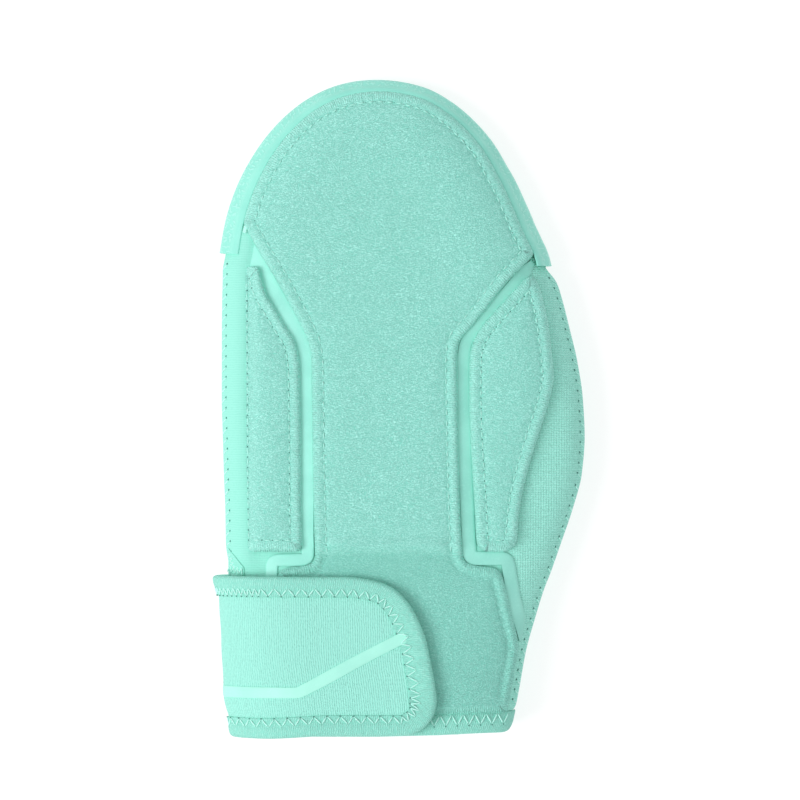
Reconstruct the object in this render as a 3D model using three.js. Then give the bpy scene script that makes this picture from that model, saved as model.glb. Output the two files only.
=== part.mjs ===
// A sliding mitt: the padded guard that a base runner wears over one hand, lying palm down.
// Millimetres. X runs across the mitt, Y from the wrist hem to the fingertips, Z up from the floor.
import * as THREE from "three";
import { mergeVertices } from "three/addons/utils/BufferGeometryUtils.js";

// The body, a hollow envelope of two shells that meet in a seam round its edge
const bodyLength = 263;
const bodyWidth = 147;
const bodyHeight = 31;
const fingerLength = 74.3;
const shellWall = 2.5;
const gap = 0.3;
const frontRise = 30;
const palmRise = 14;
const frontCrown = 2;
const edgeRoundness = 2.2;
const palmFade = 28;

// The pads on the back of the hand, and the smooth films in the channels between them
const padThickness = 4.5;
const wristPanelThickness = 2.2;
const padEdge = 1.3;
const padRoll = 7;
const panelStepAt = 75;
const panelStepWidth = 7;
const padSeat = 0.5;
const filmThickness = 0.6;
const channelWidth = 4.2;

// The moulded guard round the fingertips
const guardWall = 2.2;
const guardLip = 5.8;
const guardRidge = 1.1;
const guardPalmLip = 5.5;
const guardFootLeft = 5.7;
const guardFootRight = 2;

// The bound hem of the wrist mouth
const hemWall = 1;
const hemFlange = 7;

// The wrist strap: a knitted core with a bound border, a glossy stripe and a hook patch
const strapWidth = 65.4;
const strapDrop = 0.8;
const strapReach = 83.3;
const strapRoot = 40;
const strapCore = 2;
const bindingWall = 0.8;
const bindingTop = 8.3;
const bindingEnd = 10;
const bindingBottom = 8.3;
const strapFlare = 1.5;
const stripeWidth = 4.5;
const stripeThickness = 0.5;
const patchThickness = 0.8;
const patchLength = 34;
const patchWidth = 40;

// Sizes that follow from the ones above
const sideLength = bodyLength - fingerLength;
const quarterTurn = Math.PI / 2;
const degree = quarterTurn / 90;
const strapThickness = strapCore + 2 * (gap + bindingWall);
const strapEdgeLift = hemWall + 2 * gap + strapThickness / 2;
const strapFrontLift = wristPanelThickness + padSeat + gap + strapThickness / 2;
const palmLift = strapEdgeLift + strapThickness / 2;
const palmLiftEnd = strapWidth - strapDrop + padSeat;
const panelStart = hemFlange + gap;

// Half-widths from the spine line, as shares of bodyWidth, at shares of the straight-sided length
const bodySides = [
  { at: 0.0, left: 0.365, right: 0.372 },
  { at: 0.05, left: 0.376, right: 0.379 },
  { at: 0.1, left: 0.383, right: 0.39 },
  { at: 0.18, left: 0.396, right: 0.408 },
  { at: 0.25, left: 0.398, right: 0.433 },
  { at: 0.31, left: 0.4, right: 0.457 },
  { at: 0.35, left: 0.407, right: 0.477 },
  { at: 0.41, left: 0.419, right: 0.504 },
  { at: 0.485, left: 0.421, right: 0.537 },
  { at: 0.56, left: 0.425, right: 0.562 },
  { at: 0.64, left: 0.428, right: 0.57 },
  { at: 0.72, left: 0.431, right: 0.565 },
  { at: 0.8, left: 0.431, right: 0.55 },
  { at: 0.87, left: 0.431, right: 0.529 },
  { at: 0.94, left: 0.43, right: 0.506 },
  { at: 0.97, left: 0.429, right: 0.493 },
  { at: 1.0, left: 0.4285, right: 0.464 },
];

// How far the fingertip end reaches towards an ellipse, at shares of a quarter turn from its foot
const tipReach = [
  { at: 0.0, left: 1.0, right: 1.0 },
  { at: 0.055, left: 0.984, right: 0.978 },
  { at: 0.11, left: 0.979, right: 0.949 },
  { at: 0.17, left: 0.978, right: 0.926 },
  { at: 0.28, left: 0.977, right: 0.912 },
  { at: 0.39, left: 0.978, right: 0.915 },
  { at: 0.5, left: 0.984, right: 0.936 },
  { at: 0.61, left: 0.992, right: 0.957 },
  { at: 0.72, left: 1.0, right: 0.979 },
  { at: 0.83, left: 1.003, right: 0.996 },
  { at: 1.0, left: 1.0, right: 1.0 },
];

// Height of the edge seam and of the front, as shares of bodyHeight, along bodyLength
const sideProfile = [
  { at: 0.0, seam: 0.5, front: 1.0 },
  { at: 0.25, seam: 0.46, front: 1.0 },
  { at: 0.45, seam: 0.42, front: 0.97 },
  { at: 0.72, seam: 0.36, front: 0.82 },
  { at: 1.0, seam: 0.29, front: 0.58 },
];

// Edges of the centre pad and its wrist panel, as shares of bodyWidth, along bodyLength
const centrePadEdges = [
  { at: 0.0, left: 0.277, right: 0.364 },
  { at: 0.055, left: 0.277, right: 0.38 },
  { at: 0.12, left: 0.277, right: 0.388 },
  { at: 0.142, left: 0.277, right: 0.385 },
  { at: 0.189, left: 0.276, right: 0.366 },
  { at: 0.243, left: 0.276, right: 0.342 },
  { at: 0.252, left: 0.27, right: 0.335 },
  { at: 0.258, left: 0.25, right: 0.322 },
  { at: 0.262, left: 0.2, right: 0.27 },
  { at: 0.266, left: 0.178, right: 0.243 },
  { at: 0.273, left: 0.171, right: 0.234 },
  { at: 0.295, left: 0.173, right: 0.23 },
  { at: 0.425, left: 0.179, right: 0.222 },
  { at: 0.575, left: 0.183, right: 0.218 },
  { at: 0.601, left: 0.19, right: 0.222 },
  { at: 0.628, left: 0.211, right: 0.26 },
  { at: 0.656, left: 0.237, right: 0.3 },
  { at: 0.69, left: 0.27, right: 0.347 },
  { at: 0.742, left: 0.326, right: 0.436 },
  { at: 0.79, left: 0.376, right: 0.52 },
  { at: 0.85, left: 0.44, right: 0.62 },
];

// Edges of the two side pads, with X to the right, as shares of bodyWidth, along bodyLength
const leftPadEdges = [
  { at: 0.283, from: -0.355, to: -0.215 },
  { at: 0.294, from: -0.358, to: -0.207 },
  { at: 0.36, from: -0.36, to: -0.209 },
  { at: 0.45, from: -0.361, to: -0.21 },
  { at: 0.564, from: -0.362, to: -0.213 },
  { at: 0.601, from: -0.363, to: -0.224 },
  { at: 0.628, from: -0.363, to: -0.252 },
  { at: 0.656, from: -0.364, to: -0.282 },
  { at: 0.683, from: -0.364, to: -0.31 },
  { at: 0.72, from: -0.362, to: -0.328 },
];
const rightPadEdges = [
  { at: 0.283, from: 0.292, to: 0.354 },
  { at: 0.296, from: 0.27, to: 0.379 },
  { at: 0.334, from: 0.266, to: 0.385 },
  { at: 0.365, from: 0.263, to: 0.393 },
  { at: 0.415, from: 0.257, to: 0.414 },
  { at: 0.47, from: 0.252, to: 0.445 },
  { at: 0.515, from: 0.25, to: 0.47 },
  { at: 0.55, from: 0.25, to: 0.482 },
  { at: 0.58, from: 0.251, to: 0.479 },
  { at: 0.6, from: 0.258, to: 0.475 },
  { at: 0.625, from: 0.281, to: 0.47 },
  { at: 0.66, from: 0.335, to: 0.458 },
  { at: 0.69, from: 0.384, to: 0.443 },
  { at: 0.705, from: 0.408, to: 0.428 },
];

// Middle lines of the channels, as shares of bodyWidth and bodyLength, with widths as shares of channelWidth
const leftChannel = [
  { along: 0.757, across: -0.364, width: 0.5 },
  { along: 0.719, across: -0.3165, width: 0.55 },
  { along: 0.69, across: -0.292, width: 0.9 },
  { along: 0.628, across: -0.2315, width: 0.9 },
  { along: 0.598, across: -0.205, width: 0.85 },
  { along: 0.565, across: -0.197, width: 0.85 },
  { along: 0.425, across: -0.1945, width: 0.85 },
  { along: 0.274, across: -0.19, width: 0.85 },
  { along: 0.272, across: -0.292, width: 0.85 },
  { along: 0.225, across: -0.294, width: 0.85 },
];
const rightChannel = [
  { along: 0.716, across: 0.411, width: 0.4 },
  { along: 0.655, across: 0.316, width: 0.4 },
  { along: 0.603, across: 0.239, width: 0.55 },
  { along: 0.57, across: 0.234, width: 0.8 },
  { along: 0.425, across: 0.2395, width: 0.8 },
  { along: 0.273, across: 0.252, width: 0.85 },
  { along: 0.273, across: 0.352, width: 0.85 },
  { along: 0.209, across: 0.374, width: 0.8 },
  { along: 0.145, across: 0.4, width: 0.6 },
];

// How far the strap's free end reaches, as shares of strapReach, up its width
const strapEndShape = [
  { at: 0.0, reach: 0.85 },
  { at: 0.012, reach: 0.864 },
  { at: 0.037, reach: 0.906 },
  { at: 0.087, reach: 0.954 },
  { at: 0.155, reach: 0.985 },
  { at: 0.25, reach: 1.0 },
  { at: 0.446, reach: 0.997 },
  { at: 0.588, reach: 0.982 },
  { at: 0.724, reach: 0.946 },
  { at: 0.817, reach: 0.909 },
  { at: 0.904, reach: 0.852 },
  { at: 0.954, reach: 0.794 },
  { at: 0.984, reach: 0.715 },
  { at: 1.0, reach: 0.62 },
];

// Middle line of the stripe past the strap's bend, as shares of strapReach and of its width
const stripeRoute = [
  { along: 0.34, up: 0.285 },
  { along: 0.47, up: 0.369 },
  { along: 0.6, up: 0.454 },
  { along: 0.72, up: 0.531 },
  { along: 0.835, up: 0.606 },
];

const palette = {
  fabric: { color: 0x97e1d1, roughness: 0.95, metalness: 0 },
  knit: { color: 0x8cd6c6, roughness: 0.9, metalness: 0 },
  film: { color: 0xa8f2e2, roughness: 0.45, metalness: 0 },
  rubber: { color: 0x9feadb, roughness: 0.55, metalness: 0 },
  binding: { color: 0xa5eede, roughness: 0.9, metalness: 0 },
  gloss: { color: 0xbcfef0, roughness: 0.25, metalness: 0 },
};

// Reads one column of a table at a place between its rows, on a smooth curve that doesn't overshoot
function read(rows, column, at) {
  const last = rows.length - 1;
  if (at <= rows[0].at) return rows[0][column];
  if (at >= rows[last].at) return rows[last][column];
  const slope = (k) => (rows[k + 1][column] - rows[k][column]) / (rows[k + 1].at - rows[k].at);
  const tangent = (k) => {
    if (k === 0) return slope(0);
    if (k === last) return slope(last - 1);
    const before = slope(k - 1);
    const after = slope(k);
    return before * after <= 0 ? 0 : (2 * before * after) / (before + after);
  };
  const i = rows.findIndex((row) => row.at > at) - 1;
  const step = rows[i + 1].at - rows[i].at;
  const t = (at - rows[i].at) / step;
  const ease = t * t * (3 - 2 * t);
  const bend = t * (1 - t) * ((1 - t) * tangent(i) - t * tangent(i + 1)) * step;
  return rows[i][column] + ease * (rows[i + 1][column] - rows[i][column]) + bend;
}

// Goes smoothly from 0 to 1 as the value passes from one place to another
function smoothStep(value, from, to) {
  const t = THREE.MathUtils.clamp((value - from) / (to - from), 0, 1);
  return t * t * (3 - 2 * t);
}

const sideName = (side) => (side < 0 ? "left" : "right");

// Half the body's width on one side, at a height Y up the straight sides
function halfWidth(side, y) {
  return read(bodySides, sideName(side), y / sideLength) * bodyWidth;
}

// Distance from a point to the body's outline, positive inside it
function insideBy(x, y) {
  const side = x < 0 ? -1 : 1;
  if (y <= sideLength) return halfWidth(side, y) - Math.abs(x);
  const across = Math.abs(x) / halfWidth(side, sideLength);
  const along = (y - sideLength) / fingerLength;
  const reach = read(tipReach, sideName(side), Math.atan2(along, across) / quarterTurn);
  return Math.hypot(x, y - sideLength) * (reach / Math.hypot(across, along) - 1);
}

// Rises from 0 at the edge to 1 at the full depth, on a rounded shoulder
function shoulder(inside, rise) {
  const left = 1 - THREE.MathUtils.clamp(inside / rise, 0, 1);
  return Math.sqrt(1 - left ** edgeRoundness);
}

function seamHeight(y) {
  return read(sideProfile, "seam", y / bodyLength) * bodyHeight;
}

// Height of the body's front, moved outwards by a lift, with an edge moved outwards by its own lift
function frontHeight(x, y, lift, edgeLift = lift) {
  const seam = seamHeight(y);
  const half = halfWidth(x < 0 ? -1 : 1, Math.min(y, sideLength));
  const crown = frontCrown * (x / half) ** 2;
  const top = read(sideProfile, "front", y / bodyLength) * bodyHeight + lift - crown;
  return seam + (top - seam) * shoulder(insideBy(x, y) + edgeLift, frontRise + edgeLift);
}

// Height of the palm side, which the strap lifts off the floor at the wrist
function palmHeight(x, y, lift) {
  const seam = seamHeight(y);
  const base = palmLift * (1 - smoothStep(y, palmLiftEnd, palmLiftEnd + palmFade)) - lift;
  return seam - (seam - base) * shoulder(insideBy(x, y) + lift, palmRise + lift);
}

const shares = (list, length) => list.map((share) => share * length);

// Places round the body: up the left side, round the fingertips and down the right side
const sideShares = [
  0.05, 0.11, 0.18, 0.25, 0.31, 0.36, 0.42, 0.5, 0.58, 0.66, 0.74, 0.82, 0.9, 0.96, 1,
];
const tipDegrees = [5, 12, 20, 30, 40, 50, 60, 70, 80];
const leftRows = (start) => [start, ...shares(sideShares, sideLength)].map((y) => ({ side: -1, y }));
const leftRays = tipDegrees.map((degrees) => ({ side: -1, turn: degrees * degree }));
const mirrored = (places) => places.map((place) => ({ ...place, side: 1 })).reverse();
const fingertip = { side: 1, turn: quarterTurn };
function placesRound(start) {
  const left = [...leftRows(start), ...leftRays];
  return [...left, fingertip, ...mirrored(left)];
}

// The point at a place, a distance inwards from the outline moved outwards by a lift
function pointAt(place, inwards, lift = 0) {
  const line = lineAt(place);
  const share = inwards === Infinity ? 0 : Math.max(0, 1 + (lift - inwards) / line.length);
  return { x: line.x * share, y: line.foot + line.rise * share };
}

// The line from the spine to the outline at a place
function lineAt({ side, y, turn }) {
  if (turn === undefined) {
    const x = side * halfWidth(side, y);
    return { x, foot: y, rise: 0, length: Math.abs(x) };
  }
  const reach = read(tipReach, sideName(side), turn / quarterTurn);
  const x = side * halfWidth(side, sideLength) * reach * Math.cos(turn);
  const rise = fingerLength * reach * Math.sin(turn);
  return { x, foot: sideLength, rise, length: Math.hypot(x, rise) };
}

const vector = ({ x, y }, z) => new THREE.Vector3(x, y, z);

// Closes two grids of points into one body, walled all round unless the last column is a spine
function bodyBetween(upper, lower, spine = false) {
  const rows = upper.length;
  const columns = upper[0].length;
  const points = [...upper.flat(), ...lower.flat()];
  const index = (layer, i, j) => (layer * rows + i) * columns + j;
  const faces = [];
  const quad = (a, b, c, d) => faces.push(a, b, c, a, c, d);
  for (let i = 0; i + 1 < rows; i++) {
    for (let j = 0; j + 1 < columns; j++) {
      quad(index(0, i, j), index(0, i, j + 1), index(0, i + 1, j + 1), index(0, i + 1, j));
      quad(index(1, i, j), index(1, i + 1, j), index(1, i + 1, j + 1), index(1, i, j + 1));
    }
    quad(index(0, i, 0), index(0, i + 1, 0), index(1, i + 1, 0), index(1, i, 0));
    const end = columns - 1;
    if (!spine) quad(index(0, i, end), index(1, i, end), index(1, i + 1, end), index(0, i + 1, end));
  }
  for (let j = 0; j + 1 < columns; j++) {
    const end = rows - 1;
    quad(index(0, 0, j), index(1, 0, j), index(1, 0, j + 1), index(0, 0, j + 1));
    quad(index(0, end, j), index(0, end, j + 1), index(1, end, j + 1), index(1, end, j));
  }
  return weld(points, faces);
}

// Merges the points that coincide, drops the faces that this flattens and turns the rest outwards
function weld(points, faces) {
  const loose = new THREE.BufferGeometry().setFromPoints(points);
  loose.setIndex(faces);
  const merged = mergeVertices(loose, 1e-3);
  const at = (k) => new THREE.Vector3().fromBufferAttribute(merged.attributes.position, k);
  const kept = [];
  let volume = 0;
  for (let f = 0; f < merged.index.count; f += 3) {
    const [a, b, c] = [0, 1, 2].map((k) => merged.index.getX(f + k));
    if (a === b || b === c || c === a) continue;
    kept.push(a, b, c);
    volume += at(a).dot(at(b).cross(at(c)));
  }
  if (volume < 0) kept.reverse();
  merged.setIndex(kept);
  merged.computeVertexNormals();
  return merged;
}

// How far in from the edge each row of the surfaces lies, as shares of their rise
const frontSteps = [0, 0.015, 0.06, 0.15, 0.3, 0.5, 0.75, 1];
const palmSteps = [0, 0.03, 0.12, 0.3, 0.6, 1];

function frontShell() {
  const places = placesRound(hemWall + gap);
  const surface = (lift) =>
    places.map((place) =>
      [...shares(frontSteps, frontRise + lift), Infinity].map((inwards) => {
        const point = pointAt(place, inwards, lift);
        const height = frontHeight(point.x, point.y, lift);
        return vector(point, Math.max(height, seamHeight(point.y) + gap / 2));
      }),
    );
  return bodyBetween(surface(0), surface(-shellWall), true);
}

function palmShell() {
  const places = placesRound(hemWall + gap);
  const surface = (lift) =>
    places.map((place) =>
      [...shares(palmSteps, palmRise + lift), Infinity].map((inwards) => {
        const point = pointAt(place, inwards, lift);
        const height = palmHeight(point.x, point.y, lift);
        return vector(point, Math.min(height, seamHeight(point.y) - gap / 2));
      }),
    );
  return bodyBetween(surface(-shellWall), surface(0), true);
}

// Thickness of a pad at a distance from its own edge, which is rolled over and sewn down
function padLift(fromEdge, thickness) {
  const roll = THREE.MathUtils.clamp(fromEdge / padRoll, 0, 1);
  return padEdge + (thickness - padEdge) * Math.sqrt(1 - (1 - roll) ** 2);
}

// Distance from the spine to the centre pad's edge at a place, where its outline or the guard stops it
function padReachAt(place) {
  const line = lineAt(place);
  let inside = 0;
  let outside = 1;
  for (let k = 0; k < 30; k++) {
    const share = (inside + outside) / 2;
    const y = line.foot + line.rise * share;
    const edge = read(centrePadEdges, sideName(place.side), y / bodyLength) * bodyWidth;
    if (Math.abs(line.x) * share < edge) inside = share;
    else outside = share;
  }
  return Math.min(inside * line.length, line.length - (guardLip - guardWall));
}

// The centre pad, from the fingertip guard down to a thinner panel over the wrist
function centrePad() {
  const steps = [0, 0.2, 0.5, 1, 2, 3];
  const between = [0.285, 0.31, 0.36, 0.5];
  const outlineRows = centrePadEdges.map((row) => row.at);
  const heights = shares([...outlineRows, ...between].sort((a, b) => a - b), bodyLength);
  const inner = heights.filter((y) => y > panelStart + padEdge && y < sideLength - padEdge);
  const rows = [panelStart, panelStart + padEdge, ...inner, sideLength].map((y) => ({ side: -1, y }));
  const left = [...rows, ...leftRays];
  const places = [...left, fingertip, ...mirrored(left)];
  const grid = (height) =>
    places.map((place) => {
      const line = lineAt(place);
      const reach = padReachAt(place);
      return [...steps.map((step) => Math.min(step * padRoll, reach)), reach].map((fromEdge) => {
        const point = pointAt(place, line.length - reach + fromEdge);
        return vector(point, height(point, fromEdge));
      });
    });
  const thickness = (y) => {
    const step = smoothStep(y, panelStepAt - panelStepWidth / 2, panelStepAt + panelStepWidth / 2);
    return wristPanelThickness + (padThickness - wristPanelThickness) * step;
  };
  const top = ({ x, y }, fromEdge) => {
    const nearest = Math.min(fromEdge, y - panelStart);
    return frontHeight(x, y, padSeat + padLift(nearest, thickness(y)));
  };
  return bodyBetween(grid(top), grid(({ x, y }) => frontHeight(x, y, padSeat)), true);
}

// A side pad, in rows across it from one edge to the other
function sidePad(edges) {
  const columns = [0, 0.05, 0.13, 0.26, 0.42, 0.58, 0.74, 0.87, 0.95, 1];
  const ends = [edges[0].at, edges.at(-1).at];
  const nearEnd = padEdge / bodyLength;
  const inner = edges.slice(1, -1).map((row) => row.at);
  const rowPlaces = [ends[0], ends[0] + nearEnd, ...inner, ends[1] - nearEnd, ends[1]];
  const grid = (height) =>
    rowPlaces.map((at) => {
      const y = at * bodyLength;
      const from = read(edges, "from", at) * bodyWidth;
      const to = read(edges, "to", at) * bodyWidth;
      const endDistance = Math.min(at - ends[0], ends[1] - at) * bodyLength;
      return columns.map((share) => {
        const x = from + (to - from) * share;
        return vector({ x, y }, height(x, y, Math.min(x - from, to - x, endDistance)));
      });
    });
  const top = (x, y, fromEdge) => frontHeight(x, y, padSeat + padLift(fromEdge, padThickness));
  return bodyBetween(grid(top), grid((x, y) => frontHeight(x, y, padSeat)));
}

// The route through a table's rows, with each corner rounded by a few steps
function roundedRoute(rows, cornerShare) {
  const blend = (a, b, t) => {
    const mixed = {};
    for (const key of Object.keys(a)) mixed[key] = a[key] + (b[key] - a[key]) * t;
    return mixed;
  };
  const route = [rows[0]];
  for (let k = 1; k + 1 < rows.length; k++) {
    const start = blend(rows[k], rows[k - 1], cornerShare(rows[k], rows[k - 1]));
    const end = blend(rows[k], rows[k + 1], cornerShare(rows[k], rows[k + 1]));
    for (const t of [0, 0.33, 0.67, 1]) {
      route.push(blend(blend(start, rows[k], t), blend(rows[k], end, t), t));
    }
  }
  route.push(rows.at(-1));
  return route;
}

// The smooth film in a channel, laid on the shell along the channel's middle line
function channelFilm(rows) {
  const placed = rows.map((row) => ({
    x: row.across * bodyWidth,
    y: row.along * bodyLength,
    half: (row.width * channelWidth) / 2,
  }));
  const corner = 0.62 * channelWidth;
  const route = roundedRoute(placed, (a, b) => Math.min(0.45, corner / Math.hypot(b.x - a.x, b.y - a.y)));
  const steps = [];
  for (let k = 0; k + 1 < route.length; k++) {
    const length = Math.hypot(route[k + 1].x - route[k].x, route[k + 1].y - route[k].y);
    const parts = Math.max(1, Math.round(length / (2 * channelWidth)));
    for (let p = 0; p < parts; p++) {
      const t = p / parts;
      const mix = (key) => route[k][key] + (route[k + 1][key] - route[k][key]) * t;
      steps.push({ x: mix("x"), y: mix("y"), half: mix("half") });
    }
  }
  steps.push(route.at(-1));
  const grid = (lift) =>
    steps.map((point, k) => {
      const before = steps[Math.max(k - 1, 0)];
      const after = steps[Math.min(k + 1, steps.length - 1)];
      const heading = new THREE.Vector2(after.x - before.x, after.y - before.y).normalize();
      return [-1, 0, 1].map((side) => {
        const x = point.x - heading.y * point.half * side;
        const y = point.y + heading.x * point.half * side;
        return new THREE.Vector3(x, y, frontHeight(x, y, lift));
      });
    });
  return bodyBetween(grid(padSeat + filmThickness), grid(padSeat));
}

// The moulded guard, a channel section swept round the fingertips, with a ridge along its front lip
function tipGuard() {
  const places = [
    { side: -1, turn: guardFootLeft * degree },
    ...leftRays.slice(1),
    fingertip,
    ...mirrored(leftRays),
    { side: 1, turn: guardFootRight * degree },
  ];
  const frontLipSteps = [1, 0.8, 0.45, 0.15, 0];
  const palmLipSteps = [0.1, 0.35, 1];
  const surface = (lift, ridge) =>
    places.map((place) => {
      const frontLip = frontLipSteps.map((share, k) => {
        const point = pointAt(place, share * (guardLip - guardWall - gap + lift), lift);
        const raised = lift + (k < 2 ? ridge : 0);
        return vector(point, frontHeight(point.x, point.y, raised, lift));
      });
      const palmLip = palmLipSteps.map((share) => {
        const point = pointAt(place, share * (guardPalmLip - guardWall - gap + lift), lift);
        return vector(point, palmHeight(point.x, point.y, lift));
      });
      return [...frontLip, ...palmLip];
    });
  return bodyBetween(surface(gap + guardWall, guardRidge), surface(gap, 0));
}

// The binding folded over the raw edges of both shells, all round the wrist mouth
function wristHem() {
  const ring = (y, lift) => {
    const half = (side) => halfWidth(side, y) + lift;
    const front = (side) =>
      frontSteps.map((share) => {
        const x = side * (half(side) - share * (frontRise + lift));
        return new THREE.Vector3(x, y, frontHeight(x, y, lift));
      });
    const palm = (side) =>
      palmSteps.slice(1).map((share) => {
        const x = side * (half(side) - share * (palmRise + lift));
        return new THREE.Vector3(x, y, palmHeight(x, y, lift));
      });
    const middle = [new THREE.Vector3(0, y, frontHeight(0, y, lift))];
    const loop = [...front(-1), ...middle, ...front(1).reverse(), ...palm(1), ...palm(-1).reverse()];
    return [...loop, loop[0].clone()];
  };
  const outside = gap + hemWall;
  const inside = -(shellWall + gap + hemWall);
  const skin = [
    ring(hemFlange, outside),
    ring(hemFlange / 2, outside),
    ring(0, outside - hemWall / 2),
    ring(0, inside + hemWall / 2),
    ring(hemFlange, inside),
  ];
  const lining = [
    ring(hemFlange, gap),
    ring(hemFlange / 2, gap),
    ring(hemWall, gap),
    ring(hemWall, -(shellWall + gap)),
    ring(hemFlange, -(shellWall + gap)),
  ];
  return bodyBetween(skin, lining);
}

// Where the strap lies: a distance from the mitt's left edge, negative under the palm, and a height Y
function strapCentre(along, y) {
  const inwards = Math.abs(along);
  const x = -(halfWidth(-1, y) + strapEdgeLift) + inwards;
  if (along < 0) return new THREE.Vector3(x, y, palmHeight(x, y, strapEdgeLift));
  const rise = smoothStep(inwards, 0, frontRise / 2);
  const lift = strapEdgeLift + (strapFrontLift - strapEdgeLift) * rise;
  return new THREE.Vector3(x, y, frontHeight(x, y, lift, strapEdgeLift));
}

// The strap's middle surface moved outwards by an offset, with its top corner standing off the edge
function strapPoint(along, y, offset) {
  const nudge = 0.5;
  const before = strapCentre(along - nudge, y);
  const after = strapCentre(along + nudge, y);
  const heading = after.clone().sub(before).normalize();
  const outwards = new THREE.Vector3(-heading.z, 0, heading.x);
  const fade = along < 0 ? palmRise / 2 : frontRise;
  const standOff = smoothStep(y, strapWidth * 0.6, strapWidth) * (1 - smoothStep(Math.abs(along), 0, fade));
  return strapCentre(along, y).addScaledVector(outwards, offset + strapFlare * standOff);
}

const strapBottomY = -strapDrop;
const strapHeightAt = (share) => strapBottomY + share * strapWidth;
const strapWrap = [
  ...[-1, -0.5, -0.3, -0.12, -0.03].map((share) => share * (palmRise + strapEdgeLift)),
  ...[0, 0.02, 0.08, 0.2, 0.36, 0.56, 0.8].map((share) => share * (frontRise + strapEdgeLift)),
];

// Distances along the strap from its sewn root to a place on its front
function strapSteps(y, end) {
  const root = strapRoot + halfWidth(-1, y) + strapEdgeLift;
  const foot = frontRise + strapEdgeLift;
  const front = [0, 0.5, 1].map((share) => foot + (end - foot) * share);
  return [-root, -root / 2, ...strapWrap, ...front];
}

const strapEndAt = (y) => read(strapEndShape, "reach", (y - strapBottomY) / strapWidth) * strapReach;

// The knitted core, which stops inside the fold of its bound border
function strapCoreBody() {
  const inset = bindingWall + 2 * gap;
  const rowShares = [0, 0.05, 0.16, 0.25, 0.45, 0.6, 0.72, 0.82, 0.9, 0.955, 1];
  const foot = strapBottomY + inset;
  const room = strapWidth - 2 * inset;
  const grid = (offset) =>
    rowShares.map((share) => {
      const y = foot + share * room;
      const reach = Math.min(strapEndAt(y - inset), strapEndAt(y + inset)) - inset;
      return strapSteps(y, reach).map((along) => strapPoint(along, y, offset));
    });
  return bodyBetween(grid(strapCore / 2), grid(-strapCore / 2));
}

// The strap's edge as places along it, from the root round the free end and back to the root
function strapEdge() {
  const endRows = strapEndShape.map((row) => ({ along: row.reach * strapReach, y: strapHeightAt(row.at) }));
  const run = (y, end) => strapSteps(y, end).slice(0, -1).map((along) => ({ along, y }));
  const top = run(strapHeightAt(1), endRows.at(-1).along).reverse();
  return [...run(strapHeightAt(0), endRows[0].along), ...endRows, ...top];
}

// The bound border: a folded tape along the strap's edge, widest round its free end
function strapBinding() {
  const edge = strapEdge();
  const inwardsAt = (k) => {
    const before = edge[Math.max(k - 1, 0)];
    const after = edge[Math.min(k + 1, edge.length - 1)];
    const heading = new THREE.Vector2(after.along - before.along, after.y - before.y).normalize();
    return new THREE.Vector2(-heading.y, heading.x);
  };
  const widthAt = (inwards) => {
    if (inwards.y > 0) return bindingEnd + (bindingBottom - bindingEnd) * inwards.y;
    return bindingEnd + (bindingTop - bindingEnd) * -inwards.y;
  };
  const row = (k, sides) => {
    const inwards = inwardsAt(k);
    return sides.map(({ depth, offset }) => {
      const distance = depth === "lip" ? widthAt(inwards) : depth;
      const along = edge[k].along + inwards.x * distance;
      return strapPoint(along, edge[k].y + inwards.y * distance, offset);
    });
  };
  const half = strapThickness / 2;
  const inner = half - bindingWall;
  const skin = [
    { depth: "lip", offset: half },
    { depth: bindingWall, offset: half },
    { depth: 0, offset: half / 2 },
    { depth: 0, offset: -half / 2 },
    { depth: bindingWall, offset: -half },
    { depth: "lip", offset: -half },
  ];
  const lining = [
    { depth: "lip", offset: inner },
    { depth: 2 * bindingWall, offset: inner },
    { depth: bindingWall, offset: inner / 2 },
    { depth: bindingWall, offset: -inner / 2 },
    { depth: 2 * bindingWall, offset: -inner },
    { depth: "lip", offset: -inner },
  ];
  return bodyBetween(
    edge.map((_, k) => row(k, skin)),
    edge.map((_, k) => row(k, lining)),
  );
}

// The glossy stripe laid over the strap's core
function strapStripe() {
  const slanted = stripeRoute.map((row) => ({ along: row.along * strapReach, y: strapHeightAt(row.up) }));
  const steps = [...strapWrap.map((along) => ({ along, y: slanted[0].y })), ...slanted];
  const seat = strapCore / 2 + gap;
  const grid = (offset) =>
    steps.map((point, k) => {
      const before = steps[Math.max(k - 1, 0)];
      const after = steps[Math.min(k + 1, steps.length - 1)];
      const heading = new THREE.Vector2(after.along - before.along, after.y - before.y).normalize();
      return [-0.5, 0.5].map((side) => {
        const reach = side * stripeWidth;
        return strapPoint(point.along - heading.y * reach, point.y + heading.x * reach, offset);
      });
    });
  return bodyBetween(grid(seat + stripeThickness), grid(seat));
}

// The hook patch behind the strap's free end, inside its bound border
function hookPatch() {
  const end = strapReach * 0.8 - bindingEnd;
  const middle = strapHeightAt(0.45);
  const seat = strapCore / 2 + gap;
  const grid = (offset) =>
    [-0.5, -0.25, 0, 0.25, 0.5].map((up) =>
      [0, 0.25, 0.5, 0.75, 1].map((share) =>
        strapPoint(end - patchLength * (1 - share), middle + up * patchWidth, offset),
      ),
    );
  return bodyBetween(grid(-seat), grid(-seat - patchThickness));
}

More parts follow.
